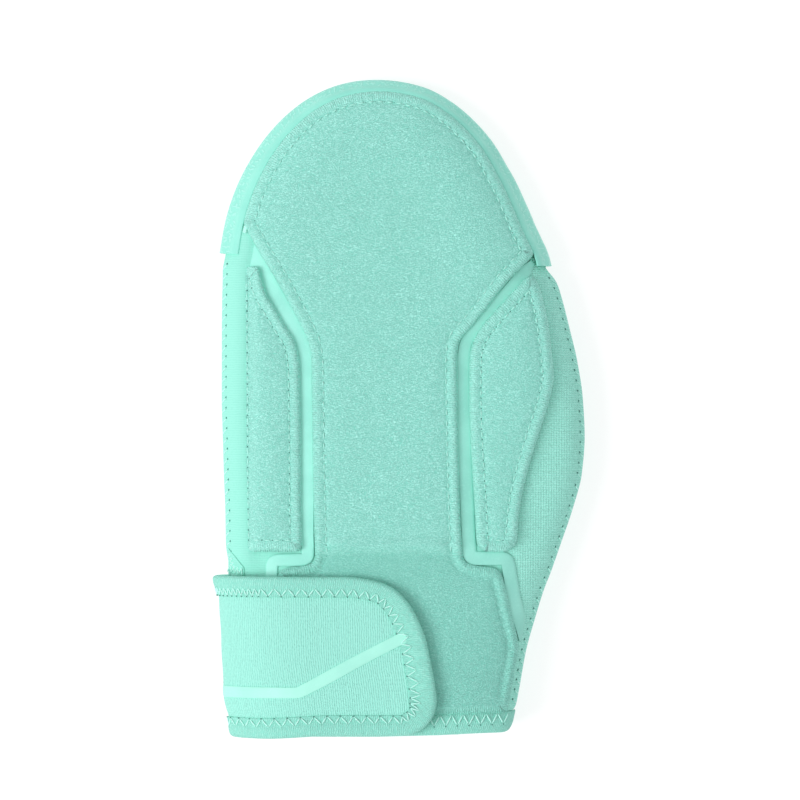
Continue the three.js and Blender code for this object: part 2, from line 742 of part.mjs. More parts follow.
const mitt = new THREE.Group();
function add(name, geometry, look) {
  const mesh = new THREE.Mesh(geometry, new THREE.MeshStandardMaterial(palette[look]));
  mesh.name = name;
  mitt.add(mesh);
}
add("front_shell", frontShell(), "knit");
add("palm_shell", palmShell(), "knit");
add("centre_pad", centrePad(), "fabric");
add("side_pad_left", sidePad(leftPadEdges), "fabric");
add("side_pad_right", sidePad(rightPadEdges), "fabric");
add("channel_left", channelFilm(leftChannel), "film");
add("channel_right", channelFilm(rightChannel), "film");
add("tip_guard", tipGuard(), "rubber");
add("wrist_hem", wristHem(), "binding");
add("strap", strapCoreBody(), "knit");
add("strap_binding", strapBinding(), "binding");
add("strap_stripe", strapStripe(), "gloss");
add("hook_patch", hookPatch(), "knit");

// The part's origin is the middle of its footprint, on the floor
const part = new THREE.Group();
part.add(mitt);
part.updateMatrixWorld(true);
const footprint = new THREE.Box3().setFromObject(mitt);
const middle = footprint.getCenter(new THREE.Vector3());
mitt.position.set(-middle.x, -middle.y, -footprint.min.z);

export default part;
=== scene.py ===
# %% [markdown]
# A sliding mitt is a padded guard that a base runner wears over one hand. It is a flat envelope of knit
# fabric with foam pads sewn on the back, a moulded rubber guard round the fingertips and a strap at the
# wrist. The imported model is loaded first as a fixed frame, because every piece sewn here has to lie where
# the solid model says it lies.

import math

import bmesh
import bpy
import numpy as np
from mathutils.geometry import delaunay_2d_cdt
from mathutils.kdtree import KDTree
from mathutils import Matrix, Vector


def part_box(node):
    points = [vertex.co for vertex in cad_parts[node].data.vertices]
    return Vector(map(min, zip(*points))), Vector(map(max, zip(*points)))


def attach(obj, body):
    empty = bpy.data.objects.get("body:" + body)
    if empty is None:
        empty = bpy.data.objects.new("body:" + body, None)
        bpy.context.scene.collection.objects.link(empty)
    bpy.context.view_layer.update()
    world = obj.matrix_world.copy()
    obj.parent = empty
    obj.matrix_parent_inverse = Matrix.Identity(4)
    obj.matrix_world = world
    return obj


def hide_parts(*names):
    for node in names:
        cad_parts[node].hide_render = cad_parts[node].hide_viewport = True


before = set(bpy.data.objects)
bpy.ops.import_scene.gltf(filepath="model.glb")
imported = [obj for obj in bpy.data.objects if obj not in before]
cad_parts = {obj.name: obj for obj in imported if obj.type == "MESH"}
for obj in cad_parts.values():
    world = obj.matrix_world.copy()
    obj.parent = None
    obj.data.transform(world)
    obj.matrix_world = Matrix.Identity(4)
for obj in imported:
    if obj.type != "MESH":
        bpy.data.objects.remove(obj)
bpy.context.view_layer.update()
scene = bpy.context.scene

# %% [markdown]
# A pattern cutter draws a mitt on paper from two lines: the spine, which runs up the middle, and the hem
# at the wrist. All the pieces here are drawn the same way, in millimetres from where those lines cross.
# One small function then carries a drawn point into the frame's metres, and it finds the shift from the
# packed shell and hem, so nothing is placed by eye.

# %% The pattern's own origin
MM = 0.001
BODY_LENGTH = 263.0
BODY_WIDTH = 147.0
BODY_HEIGHT = 31.0
FINGER_LENGTH = 74.3
SIDE_LENGTH = BODY_LENGTH - FINGER_LENGTH
WIDEST_LEFT = 0.431
shell_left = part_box("front_shell")[0].x / MM
hem_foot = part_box("wrist_hem")[0].y / MM
PATTERN_SHIFT = np.array([shell_left + WIDEST_LEFT * BODY_WIDTH, hem_foot, 0.0])


def placed(points):
    return (np.asarray(points, float) + PATTERN_SHIFT) * MM


print("pattern shift, mm:", PATTERN_SHIFT.round(2))

# %% [markdown]
# The outline of the mitt could be a drawn curve, but then no other piece could ask how far it is from the
# edge. Short tables of half-widths, read on a smooth curve between their rows, give the outline and also
# answer that question, for the pads, the guard and the strap alike. Each row is a place along the body
# and then a share of its width on the left and on the right.

# %% Tables of the body
BODY_SIDES = np.array([
    (0.0, 0.365, 0.372), (0.05, 0.376, 0.379), (0.1, 0.383, 0.39), (0.18, 0.396, 0.408),
    (0.25, 0.398, 0.433), (0.31, 0.4, 0.457), (0.35, 0.407, 0.477), (0.41, 0.419, 0.504),
    (0.485, 0.421, 0.537), (0.56, 0.425, 0.562), (0.64, 0.428, 0.57), (0.72, 0.431, 0.565),
    (0.8, 0.431, 0.55), (0.87, 0.431, 0.529), (0.94, 0.43, 0.506), (0.97, 0.429, 0.493),
    (1.0, 0.4285, 0.464),
])
TIP_REACH = np.array([
    (0.0, 1.0, 1.0), (0.055, 0.984, 0.978), (0.11, 0.979, 0.949), (0.17, 0.978, 0.926),
    (0.28, 0.977, 0.912), (0.39, 0.978, 0.915), (0.5, 0.984, 0.936), (0.61, 0.992, 0.957),
    (0.72, 1.0, 0.979), (0.83, 1.003, 0.996), (1.0, 1.0, 1.0),
])
SIDE_PROFILE = np.array([
    (0.0, 0.5, 1.0), (0.25, 0.46, 1.0), (0.45, 0.42, 0.97), (0.72, 0.36, 0.82), (1.0, 0.29, 0.58),
])
LEFT, RIGHT = 1, 2


def read(rows, column, at):
    """Reads one column of a table between its rows, on a smooth curve that doesn't overshoot."""
    places, values = rows[:, 0], rows[:, column]
    at = np.clip(at, places[0], places[-1])
    steps = np.diff(places)
    slopes = np.diff(values) / steps
    before, after = slopes[:-1], slopes[1:]
    same_way = before * after > 0
    total = np.where(same_way, before + after, 1)
    middle = np.where(same_way, 2 * before * after / total, 0)
    tangents = np.concatenate([slopes[:1], middle, slopes[-1:]])
    row = np.clip(np.searchsorted(places, at, side="right") - 1, 0, len(steps) - 1)
    t = (at - places[row]) / steps[row]
    bend = t * (1 - t) * ((1 - t) * tangents[row] - t * tangents[row + 1]) * steps[row]
    return values[row] + t * t * (3 - 2 * t) * (values[row + 1] - values[row]) + bend


def smooth_step(value, start, end):
    t = np.clip((value - start) / (end - start), 0, 1)
    return t * t * (3 - 2 * t)


def bell(value, middle, width):
    return np.exp(-((value - middle) / width) ** 2)


def plateau(value, start, full, fading, end):
    return smooth_step(value, start, full) * (1 - smooth_step(value, fading, end))


def repeats(place, pitch):
    """A wave that peaks at every stitch."""
    return np.cos(2 * np.pi * place / pitch)


def half_width(x, y):
    at = np.clip(y, 0, SIDE_LENGTH) / SIDE_LENGTH
    return BODY_WIDTH * np.where(x < 0, read(BODY_SIDES, LEFT, at), read(BODY_SIDES, RIGHT, at))


print("width at the knuckles, mm:", round(float(half_width(-1, 120) + half_width(1, 120)), 1))

# %% [markdown]
# Seen from the side the mitt is a thin cushion: a seam runs round its edge, the back of the hand swells up
# from it on a rounded shoulder and the palm goes down to the floor. Every piece on the back of the hand is
# this same surface lifted by its own thickness, so layers can't cross each other. That is how a tailor
# thinks of it too: a pad is so many millimetres on top of the shell.

# %% The back and the palm as heights
FRONT_RISE = 30.0
PALM_RISE = 14.0
FRONT_CROWN = 2.0
EDGE_ROUNDNESS = 2.2
PALM_FADE = 28.0
STRAP_WIDTH = 65.4
STRAP_DROP = 0.8
STRAP_THICKNESS = 4.2
STRAP_EDGE_LIFT = 3.7
PALM_LIFT = STRAP_EDGE_LIFT + STRAP_THICKNESS / 2
PALM_LIFT_END = STRAP_WIDTH - STRAP_DROP + 0.5
QUARTER_TURN = math.pi / 2


def inside_by(x, y):
    """How far a point lies inside the outline."""
    beside = half_width(x, y) - np.abs(x)
    over = np.maximum(y - SIDE_LENGTH, 1e-6)
    across = np.abs(x) / half_width(x, SIDE_LENGTH)
    along = over / FINGER_LENGTH
    turn = np.arctan2(along, across) / QUARTER_TURN
    reach = np.where(x < 0, read(TIP_REACH, LEFT, turn), read(TIP_REACH, RIGHT, turn))
    tip = np.hypot(x, over) * (reach / np.hypot(across, along) - 1)
    return np.where(y <= SIDE_LENGTH, beside, tip)


def shoulder(inside, rise):
    left = 1 - np.clip(inside / rise, 0, 1)
    return np.sqrt(1 - left ** EDGE_ROUNDNESS)


def seam_height(y):
    return read(SIDE_PROFILE, 1, y / BODY_LENGTH) * BODY_HEIGHT


def front_height(x, y, lift=0.0, edge_lift=None):
    edge_lift = lift if edge_lift is None else edge_lift
    crown = FRONT_CROWN * (x / half_width(x, y)) ** 2
    top = read(SIDE_PROFILE, 2, y / BODY_LENGTH) * BODY_HEIGHT + lift - crown
    seam = seam_height(y)
    return seam + (top - seam) * shoulder(inside_by(x, y) + edge_lift, FRONT_RISE + edge_lift)


def palm_height(x, y, lift=0.0):
    seam = seam_height(y)
    base = PALM_LIFT * (1 - smooth_step(y, PALM_LIFT_END, PALM_LIFT_END + PALM_FADE)) - lift
    return seam - (seam - base) * shoulder(inside_by(x, y) + lift, PALM_RISE + lift)


print("height over the knuckles, mm:", round(float(front_height(0.0, 120.0)), 1))

# %% [markdown]
# The photograph looks straight down on the mitt, so the camera hangs above it and looks along -Z, with the
# fingertips up. A long lens keeps the perspective flat. Its distance follows from the size of a pixel,
# which has to be true halfway up the mitt, where the outline lies.

# %% Camera
FRAME_PIXELS = 800
PIXEL = 0.405
PICTURE_MIDDLE = (400, 401.5)
SPINE_PIXEL, HEM_PIXEL = 378, 736
LENS = 250.0
camera_data = bpy.data.cameras.new("camera")
camera = bpy.data.objects.new("camera", camera_data)
scene.collection.objects.link(camera)
scene.camera = camera
camera_data.lens = LENS
camera_data.sensor_width = 36.0
look_at = placed([(PICTURE_MIDDLE[0] - SPINE_PIXEL) * PIXEL, (HEM_PIXEL - PICTURE_MIDDLE[1]) * PIXEL, 0])
TRUE_SIZE_LEVEL = 15.0
distance = FRAME_PIXELS * PIXEL * LENS / camera_data.sensor_width + TRUE_SIZE_LEVEL
camera.location = (look_at[0], look_at[1], distance * MM)
camera.rotation_euler = (0, 0, 0)
camera_data.clip_start, camera_data.clip_end = 0.01, 20
print("camera height, mm:", round(distance))

# %% [markdown]
# The light is a soft lamp from the left, a very wide one overhead and an even grey-white room. So the left
# slopes are lit brightly, the right slopes fall off and the pads throw short soft shadows to their right.
# The camera itself sees the room as plain white. Each lamp is a row: strength, angle and lean.

# %% Light
LAMPS = [("key", 1.65, 30, (10, -42)), ("overhead", 0.55, 120, (0, 0))]
for name, energy, angle, lean in LAMPS:
    lamp_data = bpy.data.lights.new(name, "SUN")
    lamp_data.energy = energy
    lamp_data.angle = math.radians(angle)
    lamp = bpy.data.objects.new(name, lamp_data)
    scene.collection.objects.link(lamp)
    lamp.rotation_euler = (math.radians(lean[0]), math.radians(lean[1]), 0)

room = bpy.data.worlds.new("room")
scene.world = room
room.use_nodes = True
room_nodes = room.node_tree
room_nodes.nodes.clear()
ROOM_LIGHT, ROOM_SEEN = ((0.97, 0.99, 1.0, 1), 0.54), ((1, 1, 1, 1), 1.0)
room_mix = room_nodes.nodes.new("ShaderNodeMixShader")
room_out = room_nodes.nodes.new("ShaderNodeOutputWorld")
seen_by_camera = room_nodes.nodes.new("ShaderNodeLightPath").outputs["Is Camera Ray"]
room_nodes.links.new(seen_by_camera, room_mix.inputs[0])
for socket, (colour, light) in zip(room_mix.inputs[1:], (ROOM_LIGHT, ROOM_SEEN)):
    sky = room_nodes.nodes.new("ShaderNodeBackground")
    sky.inputs["Color"].default_value = colour
    sky.inputs["Strength"].default_value = light
    room_nodes.links.new(sky.outputs[0], socket)
room_nodes.links.new(room_mix.outputs[0], room_out.inputs[0])
scene.view_settings.view_transform = "Standard"
print("lamps:", [lamp[0] for lamp in LAMPS])

# %% [markdown]
# The floor is plain and pale and glows a little, as the light table of a product photographer does, so that
# the mitt's own shadow on it stays faint. It is only the stage and doesn't belong to the mitt.

# %% Floor
FLOOR_HALF = 3.0
floor_mesh = bpy.data.meshes.new("floor")
corners = [(x * FLOOR_HALF, y * FLOOR_HALF, 0) for x, y in ((-1, -1), (1, -1), (1, 1), (-1, 1))]
floor_mesh.from_pydata(corners, [], [(0, 1, 2, 3)])
floor = bpy.data.objects.new("floor", floor_mesh)
scene.collection.objects.link(floor)
floor_look = bpy.data.materials.new("pale floor")
floor_look.use_nodes = True
floor_shader = floor_look.node_tree.nodes["Principled BSDF"]
for socket, value in (
    ("Base Color", (0.38, 0.37, 0.37, 1)), ("Emission Color", (1, 1, 1, 1)), ("Emission Strength", 0.71),
    ("Roughness", 0.9), ("Specular IOR Level", 0.1),
):
    floor_shader.inputs[socket].default_value = value
floor_mesh.materials.append(floor_look)
print("floor, m:", 2 * FLOOR_HALF)

# %% [markdown]
# Materials are built from a few shared effects. Each effect is a node group with named inputs, so it can
# be set for terry cloth in one place and for a knit in another. The first helpers only shorten the
# writing: they add a maths node, a noise, a soft threshold or a row of even waves, and one makes an empty
# group with its sockets. Patterns are measured in millimetres on the cloth, so a weave keeps its true
# size on any piece.

# %% Helpers for nodes
def formula(tree, operation, *values):
    node = tree.nodes.new("ShaderNodeMath")
    node.operation = operation
    for socket, value in zip(node.inputs, values):
        if isinstance(value, (int, float)):
            socket.default_value = value
        else:
            tree.links.new(value, socket)
    return node.outputs[0]


def vector_formula(tree, operation, *values):
    node = tree.nodes.new("ShaderNodeVectorMath")
    node.operation = operation
    for name, value in values:
        if isinstance(value, (int, float, tuple)):
            node.inputs[name].default_value = value
        else:
            tree.links.new(value, node.inputs[name])
    return node.outputs[0]


def noise_at(tree, vector, scale, detail=2.0, distortion=0.0):
    node = tree.nodes.new("ShaderNodeTexNoise")
    node.inputs["Detail"].default_value = detail
    node.inputs["Distortion"].default_value = distortion
    tree.links.new(vector, node.inputs["Vector"])
    if isinstance(scale, (int, float)):
        node.inputs["Scale"].default_value = scale
    else:
        tree.links.new(scale, node.inputs["Scale"])
    return node.outputs[0]


def parts_of(tree, vector):
    node = tree.nodes.new("ShaderNodeSeparateXYZ")
    tree.links.new(vector, node.inputs[0])
    return node.outputs


def ease(tree, value, start, end):
    node = tree.nodes.new("ShaderNodeMapRange")
    node.interpolation_type = "SMOOTHSTEP"
    node.inputs["From Min"].default_value = start
    node.inputs["From Max"].default_value = end
    tree.links.new(value, node.inputs["Value"])
    return node.outputs["Result"]


def times(tree, first, second):
    return formula(tree, "MULTIPLY", first, second)


def times_plus(tree, first, second, third):
    return formula(tree, "MULTIPLY_ADD", first, second, third)


def waves(tree, distance, pitch):
    """Even waves between 0 and 1, one to each pitch."""
    turn = formula(tree, "DIVIDE", times(tree, distance, 2 * math.pi), pitch)
    return times_plus(tree, formula(tree, "SINE", turn), 0.5, 0.5)


def new_group(name, inputs, outputs):
    group = bpy.data.node_groups.new(name, "ShaderNodeTree")
    for title, kind, value in inputs:
        socket = group.interface.new_socket(title, in_out="INPUT", socket_type="NodeSocket" + kind)
        if value is not None:
            socket.default_value = value
    for title in outputs:
        group.interface.new_socket(title, in_out="OUTPUT", socket_type="NodeSocketFloat")
    return group, group.nodes.new("NodeGroupInput").outputs, group.nodes.new("NodeGroupOutput").inputs


# %% [markdown]
# The pads are faced with a brushed loop fabric, the soft half of a touch fastener. Close up it is a felt
# of tiny curls, about a millimetre long and half as high, because the loops are laid over in rows. A
# picture of such cloth could be laid on, but noise that is squeezed one way and bent by a second noise
# gives the same curls and never repeats. The group gives a height for the bump and a shade for the colour.

# %% Node group: curled pile
curls, curl_in, curl_out = new_group(
    "curled pile",
    [("Place", "Vector", None), ("Curl size", "Float", 1.0)],
    ["Height", "Shade"],
)
fineness = formula(curls, "DIVIDE", 1.0, curl_in["Curl size"])
pressed = vector_formula(curls, "MULTIPLY", (0, curl_in["Place"]), (1, (1.0, 2.0, 1.0)))
curl_noise = noise_at(curls, pressed, fineness, detail=1.5, distortion=1.1)
tufts = noise_at(curls, curl_in["Place"], times(curls, fineness, 0.35))
curl_height = ease(curls, curl_noise, 0.32, 0.68)
tuft_height = ease(curls, tufts, 0.25, 0.75)
both = times_plus(curls, tuft_height, 0.12, times(curls, curl_height, 0.88))
curls.links.new(both, curl_out["Height"])
curls.links.new(both, curl_out["Shade"])
print("node group:", curls.name)

# %% [markdown]
# The shell and the strap are knitted. A knit is rows of stitches: strong fine lines one way, fainter lines
# across them, and the rows are broken where a stitch sits higher or lower. Two rows of waves make the lines
# and a noise breaks them up. Inputs set the pitch of the rows and of the columns in millimetres.

# %% Node group: knit rows
knit, knit_in, knit_out = new_group(
    "knit rows",
    [("Place", "Vector", None), ("Row pitch", "Float", 0.8), ("Column pitch", "Float", 0.9),
     ("Broken", "Float", 0.5), ("Columns", "Float", 0.3)],
    ["Height", "Shade"],
)
knit_xyz = parts_of(knit, knit_in["Place"])
wobble = noise_at(knit, knit_in["Place"], 0.35)
row_wave = waves(knit, times_plus(knit, wobble, 0.9, knit_xyz[1]), knit_in["Row pitch"])
column_wave = waves(knit, knit_xyz[0], knit_in["Column pitch"])
uneven = ease(knit, noise_at(knit, knit_in["Place"], 1.1), 0.32, 0.68)
whole = formula(knit, "SUBTRACT", 1.0, times(knit, uneven, knit_in["Broken"]))
rows_seen = times(knit, times(knit, row_wave, whole), 0.7)
knit.links.new(times_plus(knit, column_wave, knit_in["Columns"], rows_seen), knit_out["Height"])
knit.links.new(times_plus(knit, uneven, 0.3, rows_seen), knit_out["Shade"])
print("node group:", knit.name)

# %% [markdown]
# Where cloth is folded over an edge and sewn down, it gathers in short ribs that run across the fold. The
# same ribs show on the rolled edges of the pads, on the bound borders and on the twist of a thread. They
# are drawn along a seam, so this group reads a map whose first number is the distance along the seam and
# whose second is the distance in from the edge. The ribs fade out between two depths.

# %% Node group: gathers across an edge
gathers, gather_in, gather_out = new_group(
    "gathers",
    [("Seam map", "Vector", None), ("Pitch", "Float", 0.9), ("Depth", "Float", 4.0),
     ("Fade", "Float", 1.5), ("Slant", "Float", 0.0)],
    ["Height", "Mask"],
)
seam_xyz = parts_of(gathers, gather_in["Seam map"])
leaning = times_plus(gathers, seam_xyz[1], gather_in["Slant"], seam_xyz[0])
drift = noise_at(gathers, gather_in["Seam map"], 0.55)
gather_wave = waves(gathers, times_plus(gathers, drift, 1.1, leaning), gather_in["Pitch"])
past = formula(gathers, "SUBTRACT", seam_xyz[1], gather_in["Depth"])
fade = formula(gathers, "DIVIDE", past, gather_in["Fade"])
strength = formula(gathers, "SUBTRACT", 1.0, ease(gathers, fade, 0.0, 1.0))
broken = ease(gathers, noise_at(gathers, gather_in["Seam map"], 0.8, detail=1.0), 0.3, 0.6)
mask = times(gathers, strength, broken)
gathers.links.new(times(gathers, gather_wave, mask), gather_out["Height"])
gathers.links.new(mask, gather_out["Mask"])
print("node group:", gathers.name)

# %% [markdown]
# Nothing that is dyed and handled stays one colour. Broad soft patches come from the dye and the foam
# under the cloth, and small paler specks from rubbing. One group makes both and every material uses it, at
# its own size, so no surface here is a flat colour.

# %% Node group: dye and rubbing
dye, dye_in, dye_out = new_group(
    "dye and rubbing",
    [("Place", "Vector", None), ("Patch size", "Float", 18.0), ("Speck size", "Float", 1.6)],
    ["Patches", "Specks"],
)
for size, output, start, end in (("Patch size", "Patches", 0.3, 0.7), ("Speck size", "Specks", 0.52, 0.78)):
    scale = formula(dye, "DIVIDE", 1.0, dye_in[size])
    dye.links.new(ease(dye, noise_at(dye, dye_in["Place"], scale), start, end), dye_out[output])
print("node group:", dye.name)

# %% [markdown]
# Each material starts the same way: a Principled shader, and the place on the cloth in millimetres from
# either the object's own coordinates or a map laid on the mesh. The helper keeps that start in one object,
# with small methods for placing a group and for mixing two dyes, fully or by a small amount. Colours are
# written as the cloth reads under even white light and turned into the linear numbers that Blender wants.

# %% A start for every material
def dyed(code):
    shares = [int(code[k:k + 2], 16) / 255 for k in (0, 2, 4)]
    linear = [v / 12.92 if v <= 0.04045 else ((v + 0.055) / 1.055) ** 2.4 for v in shares]
    return (*linear, 1.0)


class Finish:
    def __init__(self, name, roughness, sheen=0.0, specular=0.3):
        self.material = bpy.data.materials.new(name)
        self.material.use_nodes = True
        self.tree = self.material.node_tree
        self.shader = self.tree.nodes["Principled BSDF"]
        self.shader.inputs["Roughness"].default_value = roughness
        self.shader.inputs["Specular IOR Level"].default_value = specular
        self.shader.inputs["Sheen Weight"].default_value = sheen
        self.shader.inputs["Sheen Roughness"].default_value = 0.5
        coordinates = self.tree.nodes.new("ShaderNodeTexCoord")
        scaled = ("Vector", coordinates.outputs["Object"]), ("Scale", 1 / MM)
        self.place = vector_formula(self.tree, "SCALE", *scaled)
        map_node = self.tree.nodes.new("ShaderNodeUVMap")
        map_node.uv_map = "cloth"
        self.map = map_node.outputs[0]

    def use(self, group, **values):
        node = self.tree.nodes.new("ShaderNodeGroup")
        node.node_tree = group
        for name, value in values.items():
            socket = node.inputs[name.replace("_", " ")]
            if isinstance(value, (int, float)):
                socket.default_value = value
            else:
                self.tree.links.new(value, socket)
        return node.outputs

    def mix(self, share, first, second, amount=None):
        """Goes from the first dye to the second by a share, or by only an amount of that share."""
        node = self.tree.nodes.new("ShaderNodeMix")
        node.data_type = "RGBA"
        share = share if amount is None else times(self.tree, share, amount)
        self.tree.links.new(share, node.inputs[0])
        for socket, colour in ((node.inputs[6], first), (node.inputs[7], second)):
            if isinstance(colour, str):
                socket.default_value = dyed(colour)
            else:
                self.tree.links.new(colour, socket)
        return node.outputs[2]

    def colour(self, output):
        self.tree.links.new(output, self.shader.inputs["Base Color"])

    def relief(self, height, depth):
        bump = self.tree.nodes.new("ShaderNodeBump")
        bump.inputs["Distance"].default_value = depth * MM
        self.tree.links.new(height, bump.inputs["Height"])
        self.tree.links.new(bump.outputs[0], self.shader.inputs["Normal"])


# %% [markdown]
# Now the finishes themselves. The loop fabric of the pads is the roughest and shows its curls; on the
# rolled edges the pile opens into gathers. The knit of the shell is smoother and a little brighter: it is
# stretched flat round the left of the hand and slack over the gusset at the right, where its grid shows.
# The strap is the same family of knit seen from its other side, with columns that run up it. Below the
# step in the foam, over the wrist, the loop fabric is painted a shade deeper: painted shade for the low
# panel that lies in the strap's shadow.

# %% Loop fabric and the two knits
PAINTED_SHADE_STEP = (hem_foot + 72.0, hem_foot + 76.0)
GUSSET_START = (34.0, 52.0)


def loop_fabric():
    finish = Finish("loop fabric", roughness=0.92, sheen=0.12, specular=0.15)
    tree = finish.tree
    pile = finish.use(curls, Place=finish.place, Curl_size=0.72)
    fold = finish.use(gathers, Seam_map=finish.map, Pitch=0.9, Depth=2.4, Fade=2.2)
    age = finish.use(dye, Place=finish.place, Patch_size=22.0, Speck_size=1.1)
    curled = finish.mix(pile["Shade"], "87dfcd", "bafff3")
    patched = finish.mix(age["Patches"], curled, "8ad8c7", 0.08)
    folded = finish.mix(fold["Height"], patched, "b4f7e8", 0.55)
    # painted shade: below the foam step the wrist panel is darkened, standing in for the strap's shadow on
    # the low panel
    wrist = ease(tree, parts_of(tree, finish.place)[1], PAINTED_SHADE_STEP[1], PAINTED_SHADE_STEP[0])
    finish.colour(finish.mix(wrist, folded, "7cccbb", 0.4))
    calm = times_plus(tree, fold["Mask"], -0.55, 1.0)
    finish.relief(times_plus(tree, fold["Height"], 1.3, times(tree, pile["Height"], calm)), 0.25)
    return finish.material


def shell_knit():
    finish = Finish("shell knit", roughness=0.85, sheen=0.08, specular=0.2)
    tree = finish.tree
    rows = finish.use(knit, Place=finish.place, Row_pitch=0.95, Column_pitch=1.05, Broken=0.5)
    age = finish.use(dye, Place=finish.place, Patch_size=26.0)
    slack = ease(tree, parts_of(tree, finish.place)[0], *GUSSET_START)
    looped = finish.mix(rows["Shade"], "92e1cf", "bcfff1", times_plus(tree, slack, 0.7, 0.3))
    patched = finish.mix(age["Patches"], looped, "9ce6d6", 0.2)
    finish.colour(finish.mix(slack, patched, "88d6c5", 0.1))
    finish.relief(times(tree, rows["Height"], times_plus(tree, slack, 0.86, 0.14)), 0.38)
    return finish.material


def strap_knit():
    finish = Finish("strap knit", roughness=0.85, sheen=0.08, specular=0.2)
    turned = finish.tree.nodes.new("ShaderNodeCombineXYZ")
    along = parts_of(finish.tree, finish.map)
    finish.tree.links.new(along[1], turned.inputs[0])
    finish.tree.links.new(along[0], turned.inputs[1])
    rows = finish.use(
        knit, Place=turned.outputs[0], Row_pitch=0.9, Column_pitch=1.5, Broken=0.7, Columns=0.12)
    age = finish.use(dye, Place=finish.place, Patch_size=20.0)
    looped = finish.mix(rows["Shade"], "8ad8c7", "bcfef0")
    finish.colour(finish.mix(age["Patches"], looped, "9ce6d7", 0.2))
    finish.relief(rows["Height"], 0.32)
    return finish.material


LOOP_FABRIC, SHELL_KNIT, STRAP_KNIT = loop_fabric(), shell_knit(), strap_knit()
print("finishes:", LOOP_FABRIC.name, SHELL_KNIT.name, STRAP_KNIT.name)

# %% [markdown]
# The films in the channels and the stripe on the strap are smooth heat-pressed plastic. The film at the
# right lies on thinner foam and is painted a shade deeper, painted shade for the side that faces away from
# the lamp, and the stripe has a little more gloss. The guard is moulded rubber whose outer face carries a
# fine grip of short raised dashes that lie at all angles. Each dash sits in its own cell of a Voronoi
# pattern and is turned by a random angle; the dashes are painted a little lighter, a painted highlight.

# %% Films and rubber
def pressed_film(name, pale, deep, roughness, coat=0.0):
    finish = Finish(name, roughness=roughness, specular=0.4)
    finish.shader.inputs["Coat Weight"].default_value = coat
    finish.shader.inputs["Coat Roughness"].default_value = 0.2
    age = finish.use(dye, Place=finish.place, Patch_size=12.0, Speck_size=0.9)
    base = finish.mix(age["Patches"], pale, deep)
    finish.colour(finish.mix(age["Specks"], base, "c4fff4", 0.15))
    finish.relief(age["Patches"], 0.05)
    return finish.material


def dash_cells(finish, cell, length, width):
    """A mask of short dashes, one to a cell, each turned its own way; all sizes are in millimetres."""
    tree = finish.tree
    cells = tree.nodes.new("ShaderNodeTexVoronoi")
    cells.voronoi_dimensions = "2D"
    cells.inputs["Scale"].default_value = 1 / cell
    tree.links.new(finish.map, cells.inputs["Vector"])
    arm = vector_formula(tree, "SUBTRACT", (0, finish.map), (1, cells.outputs["Position"]))
    x, y, _ = parts_of(tree, arm)
    turn = times(tree, parts_of(tree, cells.outputs["Color"])[0], math.pi)
    cosine, sine = formula(tree, "COSINE", turn), formula(tree, "SINE", turn)
    along = times_plus(tree, x, cosine, times(tree, y, sine))
    across = formula(tree, "SUBTRACT", times(tree, y, cosine), times(tree, x, sine))

    def within(distance, half, soft):
        return ease(tree, formula(tree, "ABSOLUTE", distance), half + soft, half - soft)

    return times(tree, within(along, length / 2, 0.15), within(across, width / 2, 0.12))


def moulded_rubber():
    finish = Finish("moulded rubber", roughness=0.42, specular=0.45)
    tree = finish.tree
    beyond_ridge = ease(tree, parts_of(tree, finish.map)[1], 3.0, 3.8)
    dashes = times(tree, dash_cells(finish, cell=1.9, length=1.6, width=0.62), beyond_ridge)
    age = finish.use(dye, Place=finish.place, Patch_size=16.0, Speck_size=1.2)
    base = finish.mix(age["Patches"], "97e8d7", "8fe1d0")
    rubbed = finish.mix(age["Specks"], base, "b4f4e8", 0.12)
    # painted highlight: the raised dashes are coloured lighter, as where their tops catch the light
    finish.colour(finish.mix(dashes, rubbed, "c0fff2", 0.42))
    finish.relief(times_plus(tree, age["Specks"], 0.15, dashes), 0.12)
    return finish.material


LEFT_FILM = pressed_film("smooth film", "a5efe0", "9be6d7", 0.5)
# painted shade: the right film is a darker copy of the film, for the right side that faces away from the lamp
RIGHT_FILM_PAINTED_SHADE = pressed_film("smooth film, painted shade", "9be3d4", "91dacb", 0.5)
GLOSS_STRIPE = pressed_film("gloss stripe", "adf3e1", "a6eddb", 0.5, coat=0.03)
MOULDED_RUBBER = moulded_rubber()
print("finishes:", LEFT_FILM.name, RIGHT_FILM_PAINTED_SHADE.name, GLOSS_STRIPE.name, MOULDED_RUBBER.name)

# %% [markdown]
# The last finishes are small: the ribbed tape that binds the hem and the strap, the sewing thread with its
# twist, the painted shade of a needle hole and the stiff hooks of the patch behind the strap.

# %% Tape, thread, needle holes and hooks
def bound_tape():
    finish = Finish("bound tape", roughness=0.88, sheen=0.1, specular=0.2)
    ribs = finish.use(gathers, Seam_map=finish.map, Pitch=0.85, Depth=30.0, Slant=0.25)
    weave = finish.use(knit, Place=finish.place, Row_pitch=0.7, Column_pitch=0.7, Broken=0.6)
    ribbed = finish.mix(ribs["Height"], "87d4c3", "a8eddd")
    finish.colour(finish.mix(weave["Shade"], ribbed, "9de6d7", 0.4))
    finish.relief(times_plus(finish.tree, weave["Height"], 0.4, ribs["Height"]), 0.2)
    return finish.material


def sewing_thread(name, pale, deep):
    finish = Finish(name, roughness=0.6, sheen=0.1)
    twist = finish.use(gathers, Seam_map=finish.map, Pitch=0.45, Depth=9.0, Slant=1.2)
    finish.colour(finish.mix(twist["Height"], deep, pale))
    finish.relief(twist["Height"], 0.05)
    return finish.material


def hook_plastic():
    finish = Finish("hook tape", roughness=0.6)
    grid = finish.use(knit, Place=finish.place, Row_pitch=1.4, Column_pitch=1.2, Broken=0.3)
    finish.colour(finish.mix(grid["Shade"], "6fb8a9", "9de4d6"))
    finish.relief(grid["Height"], 0.4)
    return finish.material


